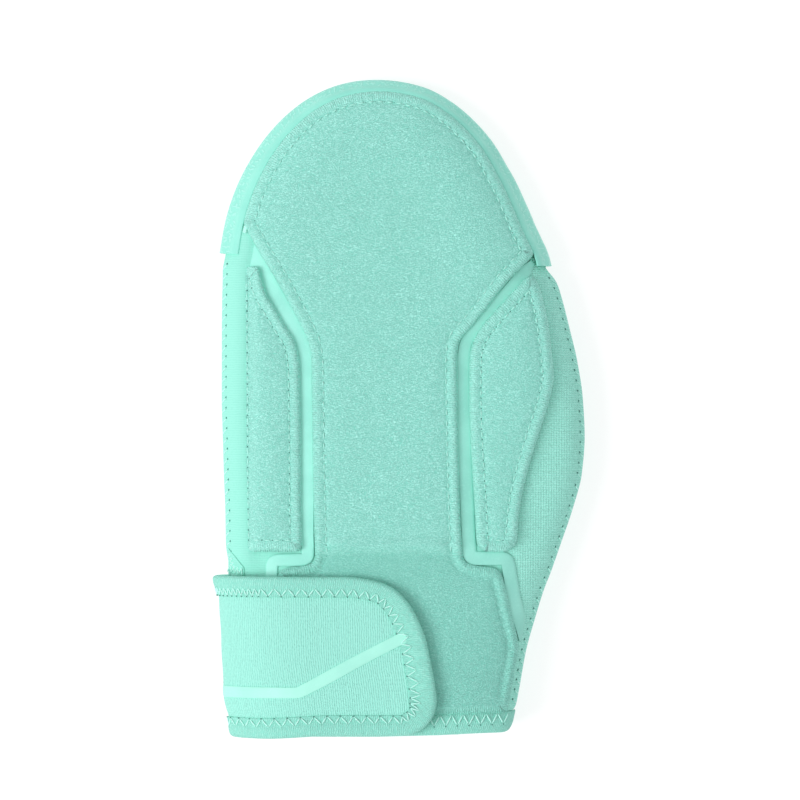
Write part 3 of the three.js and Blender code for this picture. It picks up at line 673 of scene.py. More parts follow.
BOUND_TAPE, HOOK_PLASTIC = bound_tape(), hook_plastic()
SEWING_THREAD = sewing_thread("sewing thread", "d6fff8", "b4f6e8")
PAD_THREAD = sewing_thread("pad thread", "cafff5", "abeee0")
# painted shade: needle holes are flat domes coloured dark for the shade inside the hole
PAINTED_HOLE_SHADE = sewing_thread("needle hole", "5f9e92", "4c8a7f")
print("finishes:", BOUND_TAPE.name, SEWING_THREAD.name, PAD_THREAD.name, PAINTED_HOLE_SHADE.name, HOOK_PLASTIC.name)

# %% [markdown]
# Every sewn piece ends as one closed mesh. The helper carries the drawn points into the frame, lays the
# cloth map on them, welds points that fall together, turns all the faces outwards and lets the finished
# piece ride on the one body of the mitt. Most pieces are two grids of points, an upper and a lower skin,
# closed by a wall all round.

# %% Helpers for meshes
def sewn(name, points, faces, material, slot, cloth=None, stands_for=(), sharp=50):
    mesh = bpy.data.meshes.new(name)
    mesh.from_pydata(placed(points).tolist(), [], [tuple(face) for face in faces])
    if cloth is not None:
        corner = np.zeros(len(mesh.loops), np.int32)
        mesh.loops.foreach_get("vertex_index", corner)
        layer = mesh.uv_layers.new(name="cloth")
        layer.data.foreach_set("uv", np.asarray(cloth, np.float32)[corner].ravel())
    shape = bmesh.new()
    shape.from_mesh(mesh)
    bmesh.ops.remove_doubles(shape, verts=shape.verts, dist=1e-6)
    bmesh.ops.dissolve_degenerate(shape, edges=shape.edges, dist=1e-7)
    bmesh.ops.recalc_face_normals(shape, faces=shape.faces)
    shape.to_mesh(mesh)
    shape.free()
    mesh.shade_smooth()
    mesh.set_sharp_from_angle(angle=math.radians(sharp))
    mesh.materials.append(material)
    piece = bpy.data.objects.new(name, mesh)
    scene.collection.objects.link(piece)
    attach(piece, "root")
    if stands_for:
        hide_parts(*stands_for)
    print(f"{name}: {len(mesh.polygons)} faces")
    return piece


def between(upper, lower, joined=False):
    """Points and faces of a closed body between two grids; joined grids meet in their last column."""
    rows, columns = upper.shape[:2]
    points = np.concatenate([upper.reshape(-1, 3), lower.reshape(-1, 3)])
    top, under = np.arange(2 * rows * columns).reshape(2, rows, columns)

    def patch(one, two, three, four):
        return np.stack([one, two, three, four], axis=-1).reshape(-1, 4)

    faces = [
        patch(top[:-1, :-1], top[:-1, 1:], top[1:, 1:], top[1:, :-1]),
        patch(under[:-1, :-1], under[1:, :-1], under[1:, 1:], under[:-1, 1:]),
    ]
    for k in (0, -1):
        faces.append(patch(top[k, :-1], top[k, 1:], under[k, 1:], under[k, :-1]))
        if k == 0 or not joined:
            faces.append(patch(top[:-1, k], top[1:, k], under[1:, k], under[:-1, k]))
    return points, np.concatenate(faces)


def grid_map(first, second):
    """The cloth map of a closed body: the same two distances on both skins."""
    flat = np.stack(np.broadcast_arrays(first, second), axis=-1).reshape(-1, 2)
    return np.concatenate([flat, flat])


# %% [markdown]
# The outline of the mitt is straight along its sides and round at the fingertips. A plain grid of points
# would leave a ragged edge there, so pieces are laid out on spokes: level lines from the spine up the
# straight sides and a fan of lines round the fingertips. Every spoke ends exactly on the outline. The
# guard and the centre pad use spokes too.

# %% Spokes
def spokes(start, row_step, turn_step):
    """Lines from the spine to the outline, as rows of x, foot and rise, from left to right."""
    rows = np.arange(start, SIDE_LENGTH, row_step)
    turns = np.radians(np.arange(0, 90, turn_step))

    def one_side(side, column):
        tip = read(TIP_REACH, column, turns / QUARTER_TURN)
        wide = half_width(side, SIDE_LENGTH)
        x = side * np.concatenate([half_width(side, rows), wide * tip * np.cos(turns)])
        foot = np.concatenate([rows, np.full(len(turns), SIDE_LENGTH)])
        rise = np.concatenate([0 * rows, FINGER_LENGTH * tip * np.sin(turns)])
        return np.stack([x, foot, rise], axis=1)

    middle = [[0, SIDE_LENGTH, FINGER_LENGTH]]
    return np.concatenate([one_side(-1, LEFT), middle, one_side(1, RIGHT)[::-1]])


def on_spokes(lines, inwards, lift=0.0):
    """Places at distances in from the outline, which is first moved outwards by a lift."""
    length = np.hypot(lines[:, 0], lines[:, 2])[:, None]
    share = np.maximum(1 + (lift - inwards) / length, 0)
    return lines[:, :1] * share, lines[:, 1:2] + lines[:, 2:] * share


SHELL_LINES = spokes(1.3, 1.03, 1.25)
TO_THE_SPINE = 1e6
print("spokes of the shell:", len(SHELL_LINES))

# %% [markdown]
# The envelope is two knit panels sewn together round the edge and left open at the wrist. Fine steps near
# the edge hold the rounded shoulder, and no wall divides the two sides where they meet on the spine. On
# the left margin the knit is pulled over soft filling and stands up in a long low roll, and the edge seam
# puckers it at every stitch.

# %% Knit shells
SHELL_WALL = 2.5
EDGE_STITCH = 4.15
MARGIN_WIDTH, MARGIN_ROLL, GUSSET_ROLL = 12.0, 2.7, 0.5
CORNER_START, CORNER_RADIUS = 49.5, 7.0
MOUTH_SLANT = 1.3
SHELL_STEPS = np.array([
    0, 0.004, 0.012, 0.025, 0.045, 0.07, 0.1, 0.14, 0.19, 0.25, 0.32, 0.4, 0.5, 0.6, 0.72, 0.86, 1])


def knit_relief(x, y):
    """The roll of the left margin, the slack of the gusset and the pull of the edge seam."""
    inside = inside_by(x, y)
    left_margin = plateau(y, 58, 76, 203, 212) * (x < 0)
    gusset = plateau(y, 52, 84, 168, 192) * (x > 0)
    roll = np.sin(np.pi * np.clip(inside / MARGIN_WIDTH, 0, 1)) ** 0.8
    soft = MARGIN_ROLL * roll * left_margin + GUSSET_ROLL * roll * gusset
    pull = bell(inside, 2.0, 0.9) * (y < SIDE_LENGTH)
    return soft - pull * (0.4 + 0.28 * repeats(y, EDGE_STITCH))


def mouth_curved(points):
    """Slants the wrist mouth and rounds off its right corner, where the body is cut on a curve."""
    x, y = points[..., 0], points[..., 1]
    corner = np.clip((x - CORNER_START) / CORNER_RADIUS, 0, 1)
    corner_rise = CORNER_RADIUS * (1 - np.sqrt(1 - corner ** 2)) * np.clip(1 - y / 10, 0, 1)
    slant = MOUTH_SLANT * smooth_step(x, 5, 46) * np.clip(1 - y / 30, 0, 1)
    narrowed = 0.16 * np.maximum(x - 52, 0) * np.clip((12 - y) / 3, 0, 1)
    tucked = 0.5 * smooth_step(x, 52, 56) * (1 - smooth_step(y, 8.6, 10))
    moved = points.copy()
    moved[..., 0] = x - narrowed - tucked
    moved[..., 1] = y + slant + corner_rise
    return moved


def shell_grid(height, rise, lift):
    inwards = np.concatenate([SHELL_STEPS * (rise + lift), [TO_THE_SPINE]])[None, :]
    x, y = on_spokes(SHELL_LINES, inwards, lift)
    return mouth_curved(np.stack([x, y, height(x, y, lift)], axis=-1))


def front_skin(x, y, lift):
    height = front_height(x, y, lift) + knit_relief(x, y) * (lift == 0)
    return np.maximum(height, seam_height(y) + 0.15)


def palm_skin(x, y, lift):
    return np.minimum(palm_height(x, y, lift), seam_height(y) - 0.15)


for name, skin, rise, solid in (
    ("front_knit", front_skin, FRONT_RISE, "front_shell"), ("palm_knit", palm_skin, PALM_RISE, "palm_shell"),
):
    shell = between(shell_grid(skin, rise, 0.0), shell_grid(skin, rise, -SHELL_WALL), joined=True)
    sewn(name, *shell, SHELL_KNIT, "mesh_knit", stands_for=[solid])

# %% [markdown]
# The guard is a strip of rubber with a U section, moulded round the fingertips. On the back of the hand
# its lip ends in a smooth raised ridge, wide at the little finger and narrower over the tips. A swept
# curve would give a constant section, so it is drawn as a grid on the same spokes, with its own width at
# every spoke. Its map counts millimetres along the edge and in from the ridge, for the moulded dashes.

# %% Fingertip guard
GAP = 0.3
GUARD_WALL = 2.2
GUARD_RIDGE = 1.2
LIP_TUCK = 1.1
GUARD_PALM_LIP = 5.5
GUARD_OUTSIDE = GAP + GUARD_WALL
LEFT_FOOT, RIGHT_FOOT = math.radians(4.5), math.radians(0.5)
RIDGE_TOP, FACE_END, FACE_SAG = 0.84, 0.66, 1.3
LIP_WIDTH = np.array([(0.0, 8.0), (0.12, 7.7), (0.25, 6.9), (0.4, 5.7), (0.55, 5.1), (0.75, 5.5), (1.0, 6.2)])
LIP_SHARES = np.array([
    1, 0.993, 0.97, 0.93, 0.87, 0.8, 0.73, 0.66, 0.6, 0.53, 0.44, 0.34, 0.24, 0.15, 0.08, 0.03, 0.006, 0])
PALM_SHARES = np.array([0.006, 0.03, 0.08, 0.16, 0.28, 0.45, 0.65, 0.85, 0.97, 1])


def turn_of(lines):
    """The angle of each spoke on a half circle, from the right foot of the guard to the left one."""
    return np.arctan2(lines[:, 2] / FINGER_LENGTH, lines[:, 0] / half_width(lines[:, 0], SIDE_LENGTH))


def lip_width(lines):
    """Width of the front lip at each spoke, from the left foot of the guard to the right one."""
    return read(LIP_WIDTH, 1, 1 - turn_of(lines) / math.pi)


def guard_skin(lines, lift, ridge, tuck=0.0):
    """One face of the U section: from the ridge of the lip over the edge to the lip on the palm."""
    x, y = on_spokes(lines, LIP_SHARES * (lip_width(lines)[:, None] - GUARD_OUTSIDE + lift), lift)
    round_top = np.sqrt(np.clip(1 - ((LIP_SHARES - RIDGE_TOP) / (1 - RIDGE_TOP)) ** 2, 0, 1))
    proud = np.where(LIP_SHARES > RIDGE_TOP, round_top, smooth_step(LIP_SHARES, 0.42, 0.72))
    sag = FACE_SAG * np.sin(np.pi * np.clip(LIP_SHARES / FACE_END, 0, 1)) * (ridge > 0)
    raised = ridge * proud + tuck * smooth_step(LIP_SHARES, 0.5, 0.8) - sag
    top = np.stack([x, y, front_height(x, y, lift + raised, lift)], axis=-1)
    x, y = on_spokes(lines, PALM_SHARES[None, :] * (GUARD_PALM_LIP - GUARD_OUTSIDE + lift), lift)
    under = np.stack([x, y, palm_height(x, y, lift)], axis=-1)
    return np.concatenate([top, under], axis=1)


def distances(path):
    """Distance along a path of points, from its first point."""
    steps = np.linalg.norm(np.diff(path, axis=0), axis=1)
    return np.concatenate([[0], np.cumsum(steps)])


tip_lines = spokes(SIDE_LENGTH, 1, 0.8)
tip_turns = turn_of(tip_lines)
guard_lines = tip_lines[(tip_turns >= RIGHT_FOOT) & (tip_turns <= math.pi - LEFT_FOOT)]
guard_outer = guard_skin(guard_lines, GUARD_OUTSIDE, GUARD_RIDGE)
guard_inner = guard_skin(guard_lines, GAP, 0.0, LIP_TUCK)
guard_along = distances(guard_outer[:, len(LIP_SHARES) - 1])[:, None]
guard_in = distances(guard_outer[len(guard_outer) // 2])[None, :]
sewn(
    "fingertip_guard", *between(guard_outer, guard_inner), MOULDED_RUBBER, "moulded_rubber",
    cloth=grid_map(guard_along, guard_in), stands_for=["tip_guard"],
)

# %% [markdown]
# A pad is foam faced with cloth. The cloth is turned under at the edge, so the edge is a small roll, and a
# lockstitch about five millimetres in pulls a groove all round it. Cloth simulation would blow such a thin
# pad up like a pillow and a remesh would erase the groove, so the pad is shaped directly: its outline is
# filled with rings of points that follow the edge, and each point's height comes from how far it is from
# the edge and where it is along the seam. The stitch pitch sets the puckers.

# %% Pad outlines and rings
PAD_STITCH = 4.2
RING_STEP = PAD_STITCH / 4
RING_DEPTHS = (0.12, 0.35, 0.75, 1.3, 2.0, 2.8, 3.6, 4.2, 4.7, 5.2, 5.9, 6.9, 8.2)
FILL_STEP = 1.7


def walked(path, along, at):
    """The places of a path at some distances, column by column."""
    return np.column_stack([np.interp(at, along, column) for column in path.T])


def evenly(path, step):
    """A closed path walked in even steps."""
    loop = np.concatenate([path, path[:1]])
    along = distances(loop)
    count = max(8, int(round(along[-1] / step)))
    at = np.arange(count) * along[-1] / count
    return walked(loop, along, at), at


def softened(path, passes, closed=True):
    """Each point is drawn towards its neighbours; an open path keeps its ends."""
    for _ in range(passes):
        drawn = path * 0.5 + (np.roll(path, 1, axis=0) + np.roll(path, -1, axis=0)) * 0.25
        if not closed:
            drawn[[0, -1]] = path[[0, -1]]
        path = drawn
    return path


def inward_normals(path):
    heading = np.roll(path, -2, axis=0) - np.roll(path, 2, axis=0)
    heading /= np.linalg.norm(heading, axis=1)[:, None]
    area = np.sum(path[:, 0] * np.roll(path[:, 1], -1) - path[:, 1] * np.roll(path[:, 0], -1))
    return np.stack([-heading[:, 1], heading[:, 0]], axis=1) * np.sign(area)


def tree_of(points):
    tree = KDTree(len(points))
    for k, (x, y) in enumerate(points):
        tree.insert((x, y, 0), k)
    tree.balance()
    return tree


def inside_polygon(points, path):
    x, y = points[:, 0], points[:, 1]
    inside = np.zeros(len(points), bool)
    for (x1, y1), (x2, y2) in zip(path, np.roll(path, -1, axis=0)):
        if y1 != y2:
            crosses = ((y1 > y) != (y2 > y)) & (x < (x2 - x1) * (y - y1) / (y2 - y1) + x1)
            inside ^= crosses
    return inside


def ringed(outline, depths):
    """Fills an outline with rings and a hexagonal grid: points, their depths and places along the edge."""
    edge, along = evenly(outline, RING_STEP)
    edge = softened(edge, 2)
    fine, fine_along = evenly(edge, RING_STEP / 4)
    nearest = tree_of(fine)
    normals = inward_normals(edge)
    points, depth, place = [edge], [np.zeros(len(edge))], [along]
    for wanted in depths:
        moved = edge + normals * wanted
        real = np.array([nearest.find((x, y, 0))[2] for x, y in moved])
        keep = (real > wanted * 0.96 - 0.02) & inside_polygon(moved, edge)
        points.append(moved[keep])
        depth.append(np.full(keep.sum(), wanted))
        place.append(along[keep])
    (left, low), (right, high) = edge.min(axis=0), edge.max(axis=0)
    row_step = FILL_STEP * 0.866
    columns, rows = np.meshgrid(np.arange(left, right, FILL_STEP), np.arange(low, high, row_step))
    columns = columns + (np.arange(len(rows)) % 2)[:, None] * FILL_STEP / 2
    fill = np.stack([columns.ravel(), rows.ravel()], axis=1)
    fill = fill[inside_polygon(fill, edge)]
    found = [nearest.find((x, y, 0)) for x, y in fill]
    real = np.array([hit[2] for hit in found])
    keep = real > depths[-1] + FILL_STEP * 0.55
    points.append(fill[keep])
    depth.append(real[keep])
    place.append(fine_along[[hit[1] for hit in found]][keep])
    return edge, np.concatenate(points), np.concatenate(depth), np.concatenate(place)


# %% [markdown]
# The two skins of a pad share one net of triangles, made by a Delaunay fill that keeps to the outline. The
# upper skin takes the full height and the lower skin lies on the shell. The upper one climbs over the
# rolled edge, dips into the stitched groove, puckers at every stitch and then rises a little to the field.
# One function tells that height, so the threads can be laid on exactly the same surface later.

# %% Pad body
PAD_SEAT = 0.5
PAD_THICKNESS = 4.5
PANEL_THICKNESS = 2.2
PAD_EDGE = 1.0
EDGE_ROLL = 2.1
STITCH_DEPTH = 4.7


def pad_lift(depth, place, thickness, stitched):
    """Height of the cloth over the shell, from the rolled edge over the stitched groove to the field."""
    roll = np.clip(depth / EDGE_ROLL, 0, 1)
    body = PAD_EDGE + (thickness * 0.9 - PAD_EDGE) * np.sqrt(1 - (1 - roll) ** 2)
    dome = thickness * 0.1 * smooth_step(depth, STITCH_DEPTH, STITCH_DEPTH + 9)
    pucker = repeats(place, PAD_STITCH)
    narrow = bell(depth, STITCH_DEPTH, 0.5) * (0.62 + 0.38 * pucker)
    wide = bell(depth, STITCH_DEPTH, 2.0)
    gather = bell(depth, STITCH_DEPTH * 0.5, 1.6) * pucker
    return body + dome - stitched * (0.55 * narrow + 0.3 * wide + 0.12 * gather)


def pad(name, outline, height, stands_for, seam_outline=None):
    """Sews one pad and gives back the edge that its seam follows, as x, y and place along it."""
    edge, flat, depth, place = ringed(outline, RING_DEPTHS)
    seam_edge, seam_place = evenly(edge, RING_STEP / 2)
    if seam_outline is not None:
        seam_edge, seam_place = evenly(softened(evenly(seam_outline, RING_STEP)[0], 2), RING_STEP / 2)
        nearest = tree_of(seam_edge)
        hits = [nearest.find((x, y, 0)) for x, y in flat]
        depth = np.array([hit[2] for hit in hits])
        place = seam_place[[hit[1] for hit in hits]]
    ring = list(range(len(edge)))
    result = delaunay_2d_cdt([tuple(point) for point in flat], [], [ring], 1, 1e-5)
    net = np.array([tuple(point) for point in result[0]])
    source = np.array([origin[0] if origin else 0 for origin in result[3]])
    triangles = np.array([face for face in result[2] if len(face) == 3])
    depth, place = depth[source], place[source]
    top = height(net[:, 0], net[:, 1], depth, place)
    under = np.minimum(front_height(net[:, 0], net[:, 1], PAD_SEAT), top - 0.1)
    points = np.concatenate([np.column_stack([net, top]), np.column_stack([net, under])])
    count = len(net)
    back = {origin: k for k, origin in reversed(list(enumerate(source.tolist())))}
    rim = np.array([back[k] for k in ring])
    wall = np.stack([rim, np.roll(rim, -1), np.roll(rim, -1) + count, rim + count], axis=1)
    faces = [*triangles.tolist(), *(triangles[:, ::-1] + count).tolist(), *wall.tolist()]
    cloth = np.tile(np.column_stack([place, depth]), (2, 1))
    piece = sewn(
        name, mouth_curved(points), faces, LOOP_FABRIC, "loop_fabric",
        cloth=cloth, stands_for=[stands_for], sharp=70)
    return np.column_stack([seam_edge, seam_place])


# %% [markdown]
# The centre pad is the biggest piece: a broad head under the fingertip guard, a narrow waist and, below a
# step in the foam, a thinner panel that spreads over the wrist. Its edge is a table up to where it meets
# the guard, and there it follows the guard's lip. Its place on each spoke is found by halving, because the
# table counts up the body and the spokes fan out.

# %% Centre pad
CENTRE_EDGES = np.array([
    (0.0, 0.277, 0.364), (0.055, 0.277, 0.38), (0.12, 0.277, 0.388), (0.142, 0.277, 0.385),
    (0.189, 0.276, 0.366), (0.243, 0.276, 0.342), (0.252, 0.27, 0.335), (0.258, 0.25, 0.322),
    (0.262, 0.2, 0.27), (0.266, 0.178, 0.243), (0.273, 0.171, 0.234), (0.295, 0.173, 0.23),
    (0.425, 0.179, 0.222), (0.575, 0.183, 0.218), (0.601, 0.19, 0.222), (0.628, 0.211, 0.26),
    (0.656, 0.237, 0.3), (0.69, 0.27, 0.347), (0.742, 0.326, 0.436), (0.79, 0.376, 0.52),
    (0.85, 0.44, 0.62),
])
PANEL_FOOT = 7.6
STEP_AT, STEP_WIDTH = 75.0, 5.0
UNDER_HEM = 0.15
WAIST_SEAMS = (3.4, 25.5)


def centre_outline():
    lines = spokes(PANEL_FOOT, 0.12, 0.5)
    length = np.hypot(lines[:, 0], lines[:, 2])
    column = np.where(lines[:, 0] < 0, LEFT, RIGHT)
    inside, outside = np.zeros(len(lines)), np.ones(len(lines))
    for _ in range(30):
        share = (inside + outside) / 2
        at = (lines[:, 1] + lines[:, 2] * share) / BODY_LENGTH
        edge = np.where(column == LEFT, read(CENTRE_EDGES, LEFT, at), read(CENTRE_EDGES, RIGHT, at))
        within = np.abs(lines[:, 0]) * share < edge * BODY_WIDTH
        inside, outside = np.where(within, share, inside), np.where(within, outside, share)
    under_lip = lip_width(lines) - GUARD_OUTSIDE - 0.4
    reach = np.minimum(inside * length, length - under_lip)
    x, y = on_spokes(lines, (length - reach)[:, None])
    return np.column_stack([x, y])


def centre_height(x, y, depth, place):
    """The head, the step down to the wrist panel, the panel's rolled rim and its foot under the hem."""
    step = smooth_step(y, STEP_AT - STEP_WIDTH / 2, STEP_AT + STEP_WIDTH / 2)
    thickness = PANEL_THICKNESS + (PAD_THICKNESS - PANEL_THICKNESS) * step
    stitched = smooth_step(y, 64, 80)
    off_hem = smooth_step(y, 12, 18)
    lift = pad_lift(depth, place, thickness, stitched + 0.95 * (1 - stitched) * off_hem)
    ridge = 1.3 * bell(y, STEP_AT + 2.6, 1.4) * smooth_step(depth, 5, 8)
    rim = (0.3 * bell(depth, 3.6, 0.7) - 0.45 * bell(depth, 1.8, 0.9)) * (1 - step) * off_hem
    middle, apart = WAIST_SEAMS
    waist = 0.35 * bell(np.abs(x - middle), apart, 0.8) * smooth_step(y, 64, 68) * (1 - stitched)
    over_foot = smooth_step(y, 7.5, 11.5)
    return front_height(x, y, UNDER_HEM + (PAD_SEAT - UNDER_HEM + lift + ridge - rim - waist) * over_foot)


centre_edge = pad("centre_pad_cloth", centre_outline(), centre_height, "centre_pad")

# %% [markdown]
# The two side pads cover the knuckles beside the channels. They are cut from one drawing each, a table of
# their left and right edges. The right pad is sewn down all round. The left pad's outer side runs level
# into the knit margin, with its seam right at the edge, so its stitches follow an outline of their own.

# %% Side pads
LEFT_PAD_OUTER, MARGIN_LEVEL = 0.362, 1.3
LEFT_PAD = np.array([
    (0.283, -0.355, -0.215), (0.294, -0.358, -0.207), (0.36, -0.36, -0.209), (0.45, -0.361, -0.21),
    (0.564, -0.362, -0.213), (0.601, -0.363, -0.224), (0.628, -0.363, -0.252), (0.656, -0.364, -0.282),
    (0.683, -0.364, -0.31), (0.72, -0.362, -0.328),
])
RIGHT_PAD = np.array([
    (0.283, 0.292, 0.354), (0.296, 0.27, 0.379), (0.334, 0.266, 0.385), (0.365, 0.263, 0.393),
    (0.415, 0.257, 0.414), (0.47, 0.252, 0.445), (0.515, 0.25, 0.47), (0.55, 0.25, 0.482),
    (0.58, 0.251, 0.479), (0.6, 0.258, 0.475), (0.625, 0.281, 0.47), (0.66, 0.335, 0.458),
    (0.69, 0.384, 0.443), (0.705, 0.408, 0.428),
])


def side_outline(rows):
    y = np.linspace(rows[0, 0], rows[-1, 0], 700)
    left = np.column_stack([read(rows, 1, y) * BODY_WIDTH, y * BODY_LENGTH])
    right = np.column_stack([read(rows, 2, y) * BODY_WIDTH, y * BODY_LENGTH])
    return np.concatenate([left, right[::-1]])


def side_height(x, y, depth, place):
    return front_height(x, y, PAD_SEAT + pad_lift(depth, place, PAD_THICKNESS, 1.0))


def left_height(x, y, depth, place):
    """On the outer side the cloth meets the knit margin at its own level, with the seam at the edge."""
    outer = x + LEFT_PAD_OUTER * BODY_WIDTH
    full = pad_lift(depth, place, PAD_THICKNESS, 1.0)
    seam = bell(outer, 0.8, 0.6) * (0.3 + 0.2 * repeats(place, PAD_STITCH))
    level = MARGIN_LEVEL + (full - MARGIN_LEVEL) * smooth_step(outer, 0.0, 5.5) - seam
    return front_height(x, y, PAD_SEAT + level)


LEFT_SEAM_SHIFT = np.array([0, -4.0 / BODY_WIDTH, 0])
left_seam = side_outline(LEFT_PAD + LEFT_SEAM_SHIFT)
left_edge = pad("left_pad_cloth", side_outline(LEFT_PAD), left_height, "side_pad_left", left_seam)
right_edge = pad("right_pad_cloth", side_outline(RIGHT_PAD), side_height, "side_pad_right")

# %% [markdown]
# Between the pads the shell is covered by a smooth film, pressed on with heat over a thin strip of foam.
# Each film is a band along a drawn route with rounded corners, and the right one leans a little towards
# the pad beside it. A curve with a bevel would be simpler, but a band of its own keeps the film's flat
# section and lets it follow the shell. Each row is a place up the body, one across it and a width.

# %% Channel films
FILM_THICKNESS = 0.4
FILM_SEAT, FILM_RIM = 0.15, 0.93
LEFT_FOAM, RIGHT_FOAM, RIGHT_TILT = 1.1, 0.3, 1.0
CHANNEL_WIDTH = 4.2
LEFT_CHANNEL = np.array([
    (0.766, -0.368, 0.2), (0.748, -0.345, 1.0), (0.728, -0.335, 2.1), (0.712, -0.322, 2.3),
    (0.69, -0.295, 1.9), (0.66, -0.262, 1.6), (0.628, -0.2315, 1.5), (0.598, -0.205, 1.45),
    (0.565, -0.197, 1.35), (0.425, -0.1945, 1.3), (0.271, -0.1915, 1.2), (0.27, -0.29, 1.15),
    (0.225, -0.292, 1.1),
])
RIGHT_CHANNEL = np.array([
    (0.727, 0.425, 0.5), (0.712, 0.405, 1.3), (0.69, 0.372, 1.3), (0.655, 0.316, 1.25),
    (0.603, 0.24, 1.25), (0.57, 0.234, 1.35), (0.425, 0.2395, 1.4), (0.273, 0.2505, 1.35),
    (0.273, 0.354, 1.3), (0.209, 0.373, 1.35), (0.178, 0.388, 1.25), (0.143, 0.3915, 0.1),
])


def rounded_route(rows, corner):
    """Walks through the rows with each corner rounded, in even steps: x, y and half-width."""
    points = rows[:, [1, 0, 2]] * (BODY_WIDTH, BODY_LENGTH, CHANNEL_WIDTH / 2)
    route = [points[0]]
    for before, here, after in zip(points, points[1:], points[2:]):
        start = here + (before - here) * min(0.45, corner / np.hypot(*(before - here)[:2]))
        end = here + (after - here) * min(0.45, corner / np.hypot(*(after - here)[:2]))
        for t in np.linspace(0, 1, 9):
            route.append((start * (1 - t) + here * t) * (1 - t) + (here * (1 - t) + end * t) * t)
    route = np.array([*route, points[-1]])
    along = distances(route[:, :2])
    at = np.arange(0, along[-1], 0.8)
    return walked(route, along, at), at


def headings(path):
    """The unit direction of a path at each of its points."""
    steps = np.gradient(path, axis=0)
    return steps / np.linalg.norm(steps, axis=1)[:, None]


def film(name, rows, foam, tilt, look, stands_for):
    """Between the pads the film lies on a strip of foam, beyond them straight on the knit."""
    route, along = rounded_route(rows, 0.62 * CHANNEL_WIDTH)
    heading = headings(route[:, :2])
    side = np.array([-1, -0.985, -FILM_RIM, -0.6, -0.2, 0.2, 0.6, FILM_RIM, 0.985, 1])
    x = route[:, :1] - heading[:, 1:] * route[:, 2:] * side
    y = route[:, 1:2] + heading[:, :1] * route[:, 2:] * side
    between_pads = plateau(y, 73, 84, 168, 186)
    lift = FILM_THICKNESS + foam * between_pads + tilt * (1 - side) * (0.25 + 0.25 * between_pads)
    rounded = np.sqrt(1 - ((np.abs(side) - FILM_RIM) / (1 - FILM_RIM)).clip(0, 1) ** 2)
    upper = np.stack([x, y, front_height(x, y, FILM_SEAT + 0.1 + lift * (0.2 + 0.8 * rounded))], axis=-1)
    lower = np.stack([x, y, front_height(x, y, FILM_SEAT)], axis=-1)
    cloth = grid_map(along[:, None], side[None, :] * 2)
    return sewn(name, *between(upper, lower), look, "smooth_film", cloth=cloth, stands_for=[stands_for])


film("left_film", LEFT_CHANNEL, LEFT_FOAM, 0.0, LEFT_FILM, "channel_left")
film("right_film", RIGHT_CHANNEL, RIGHT_FOAM, RIGHT_TILT, RIGHT_FILM_PAINTED_SHADE, "channel_right")

# %% [markdown]
# The wrist opening is bound: a knitted tape is folded over the raw edges of both shells and sewn through
# with a zigzag. It is a ring with a U section, drawn as a grid of loops round the mouth. Each loop is a row
# of the profile: how far up the front it lies, how far up the palm, and how far outside the shell. The tape
# is puffy, so its outer face is a shallow arch.

# %% Wrist hem
HEM_WALL = 1.0
HEM_FRONT = 8.6
HEM_FLANGE = 7.0


def mouth_loop(y_front, y_palm, lift, count=44):
    def side_run(side, height, rise, y):
        share = np.concatenate([1 - np.cos(np.linspace(0, QUARTER_TURN, count // 2)), [TO_THE_SPINE]])
        half = half_width(side, y) + lift
        x = side * np.maximum(half - share * (rise + lift), 0)
        return np.column_stack([x, np.full(len(x), float(y)), height(x, y, lift)])

    front_left = side_run(-1, front_height, FRONT_RISE, y_front)
    front_right = side_run(1, front_height, FRONT_RISE, y_front)[::-1][1:]
    palm_right = side_run(1, palm_height, PALM_RISE, y_palm)[1:]
    palm_left = side_run(-1, palm_height, PALM_RISE, y_palm)[::-1][1:]
    return np.concatenate([front_left, front_right, palm_right, palm_left])


def hem_rings():
    outer, inner = GAP + HEM_WALL, -(SHELL_WALL + GAP + HEM_WALL)
    under = -(SHELL_WALL + GAP)
    profile = [
        (HEM_FRONT, HEM_FLANGE, GAP + 0.2), (HEM_FRONT - 0.5, HEM_FLANGE - 0.4, outer - 0.4),
        (7.4, 6.3, outer), (5.6, 4.8, outer + 0.35), (3.6, 3.4, outer + 0.5), (1.8, 1.8, outer + 0.35),
        (0.6, 0.6, outer - 0.1), (0.1, 0.1, outer - 0.7), (0, 0, -0.6), (0, 0, inner + 0.9),
        (0.1, 0.1, inner + 0.4), (0.7, 0.7, inner + 0.1), (3.0, 3.0, inner), (HEM_FLANGE, HEM_FLANGE, inner),
    ]
    lining = [
        (HEM_FRONT - 0.1, HEM_FLANGE, GAP), (HEM_FRONT - 0.6, HEM_FLANGE - 0.6, GAP), (7.0, 6.0, GAP),
        (5.4, 4.6, GAP), (3.4, 3.2, GAP), (2.2, 2.2, GAP), (1.6, 1.6, GAP), (1.1, 1.1, GAP), (1.1, 1.1, -0.6),
        (1.1, 1.1, -SHELL_WALL), (1.1, 1.1, under), (1.6, 1.6, under), (3.0, 3.0, under),
        (HEM_FLANGE, HEM_FLANGE, under),
    ]
    return [mouth_curved(np.stack([mouth_loop(*row) for row in rows], axis=1)) for rows in (profile, lining)]


hem_skin, hem_lining = hem_rings()
hem_along = distances(hem_skin[:, 4])[:, None]
hem_across = distances(hem_skin[10])[None, :]
sewn(
    "hem_tape", *between(hem_skin, hem_lining), BOUND_TAPE, "bound_tape",
    cloth=grid_map(hem_along, hem_across), stands_for=["wrist_hem"],
)

# %% [markdown]
# The strap starts under the palm, comes round the left edge and closes on the back of the wrist. It is
# drawn flat, as a distance along the strap and a height up its width, and one function wraps that flat
# drawing round the mitt. So the core, its border, the stripe and every stitch on it are laid out flat, as
# they are cut and sewn, and wrapped afterwards. The flat drawing is stretched where it turns round the
# edge of the mitt, so weaves and stitches are spaced by the real length of the wrapped strap. The top
# corner stands a little off the mitt.

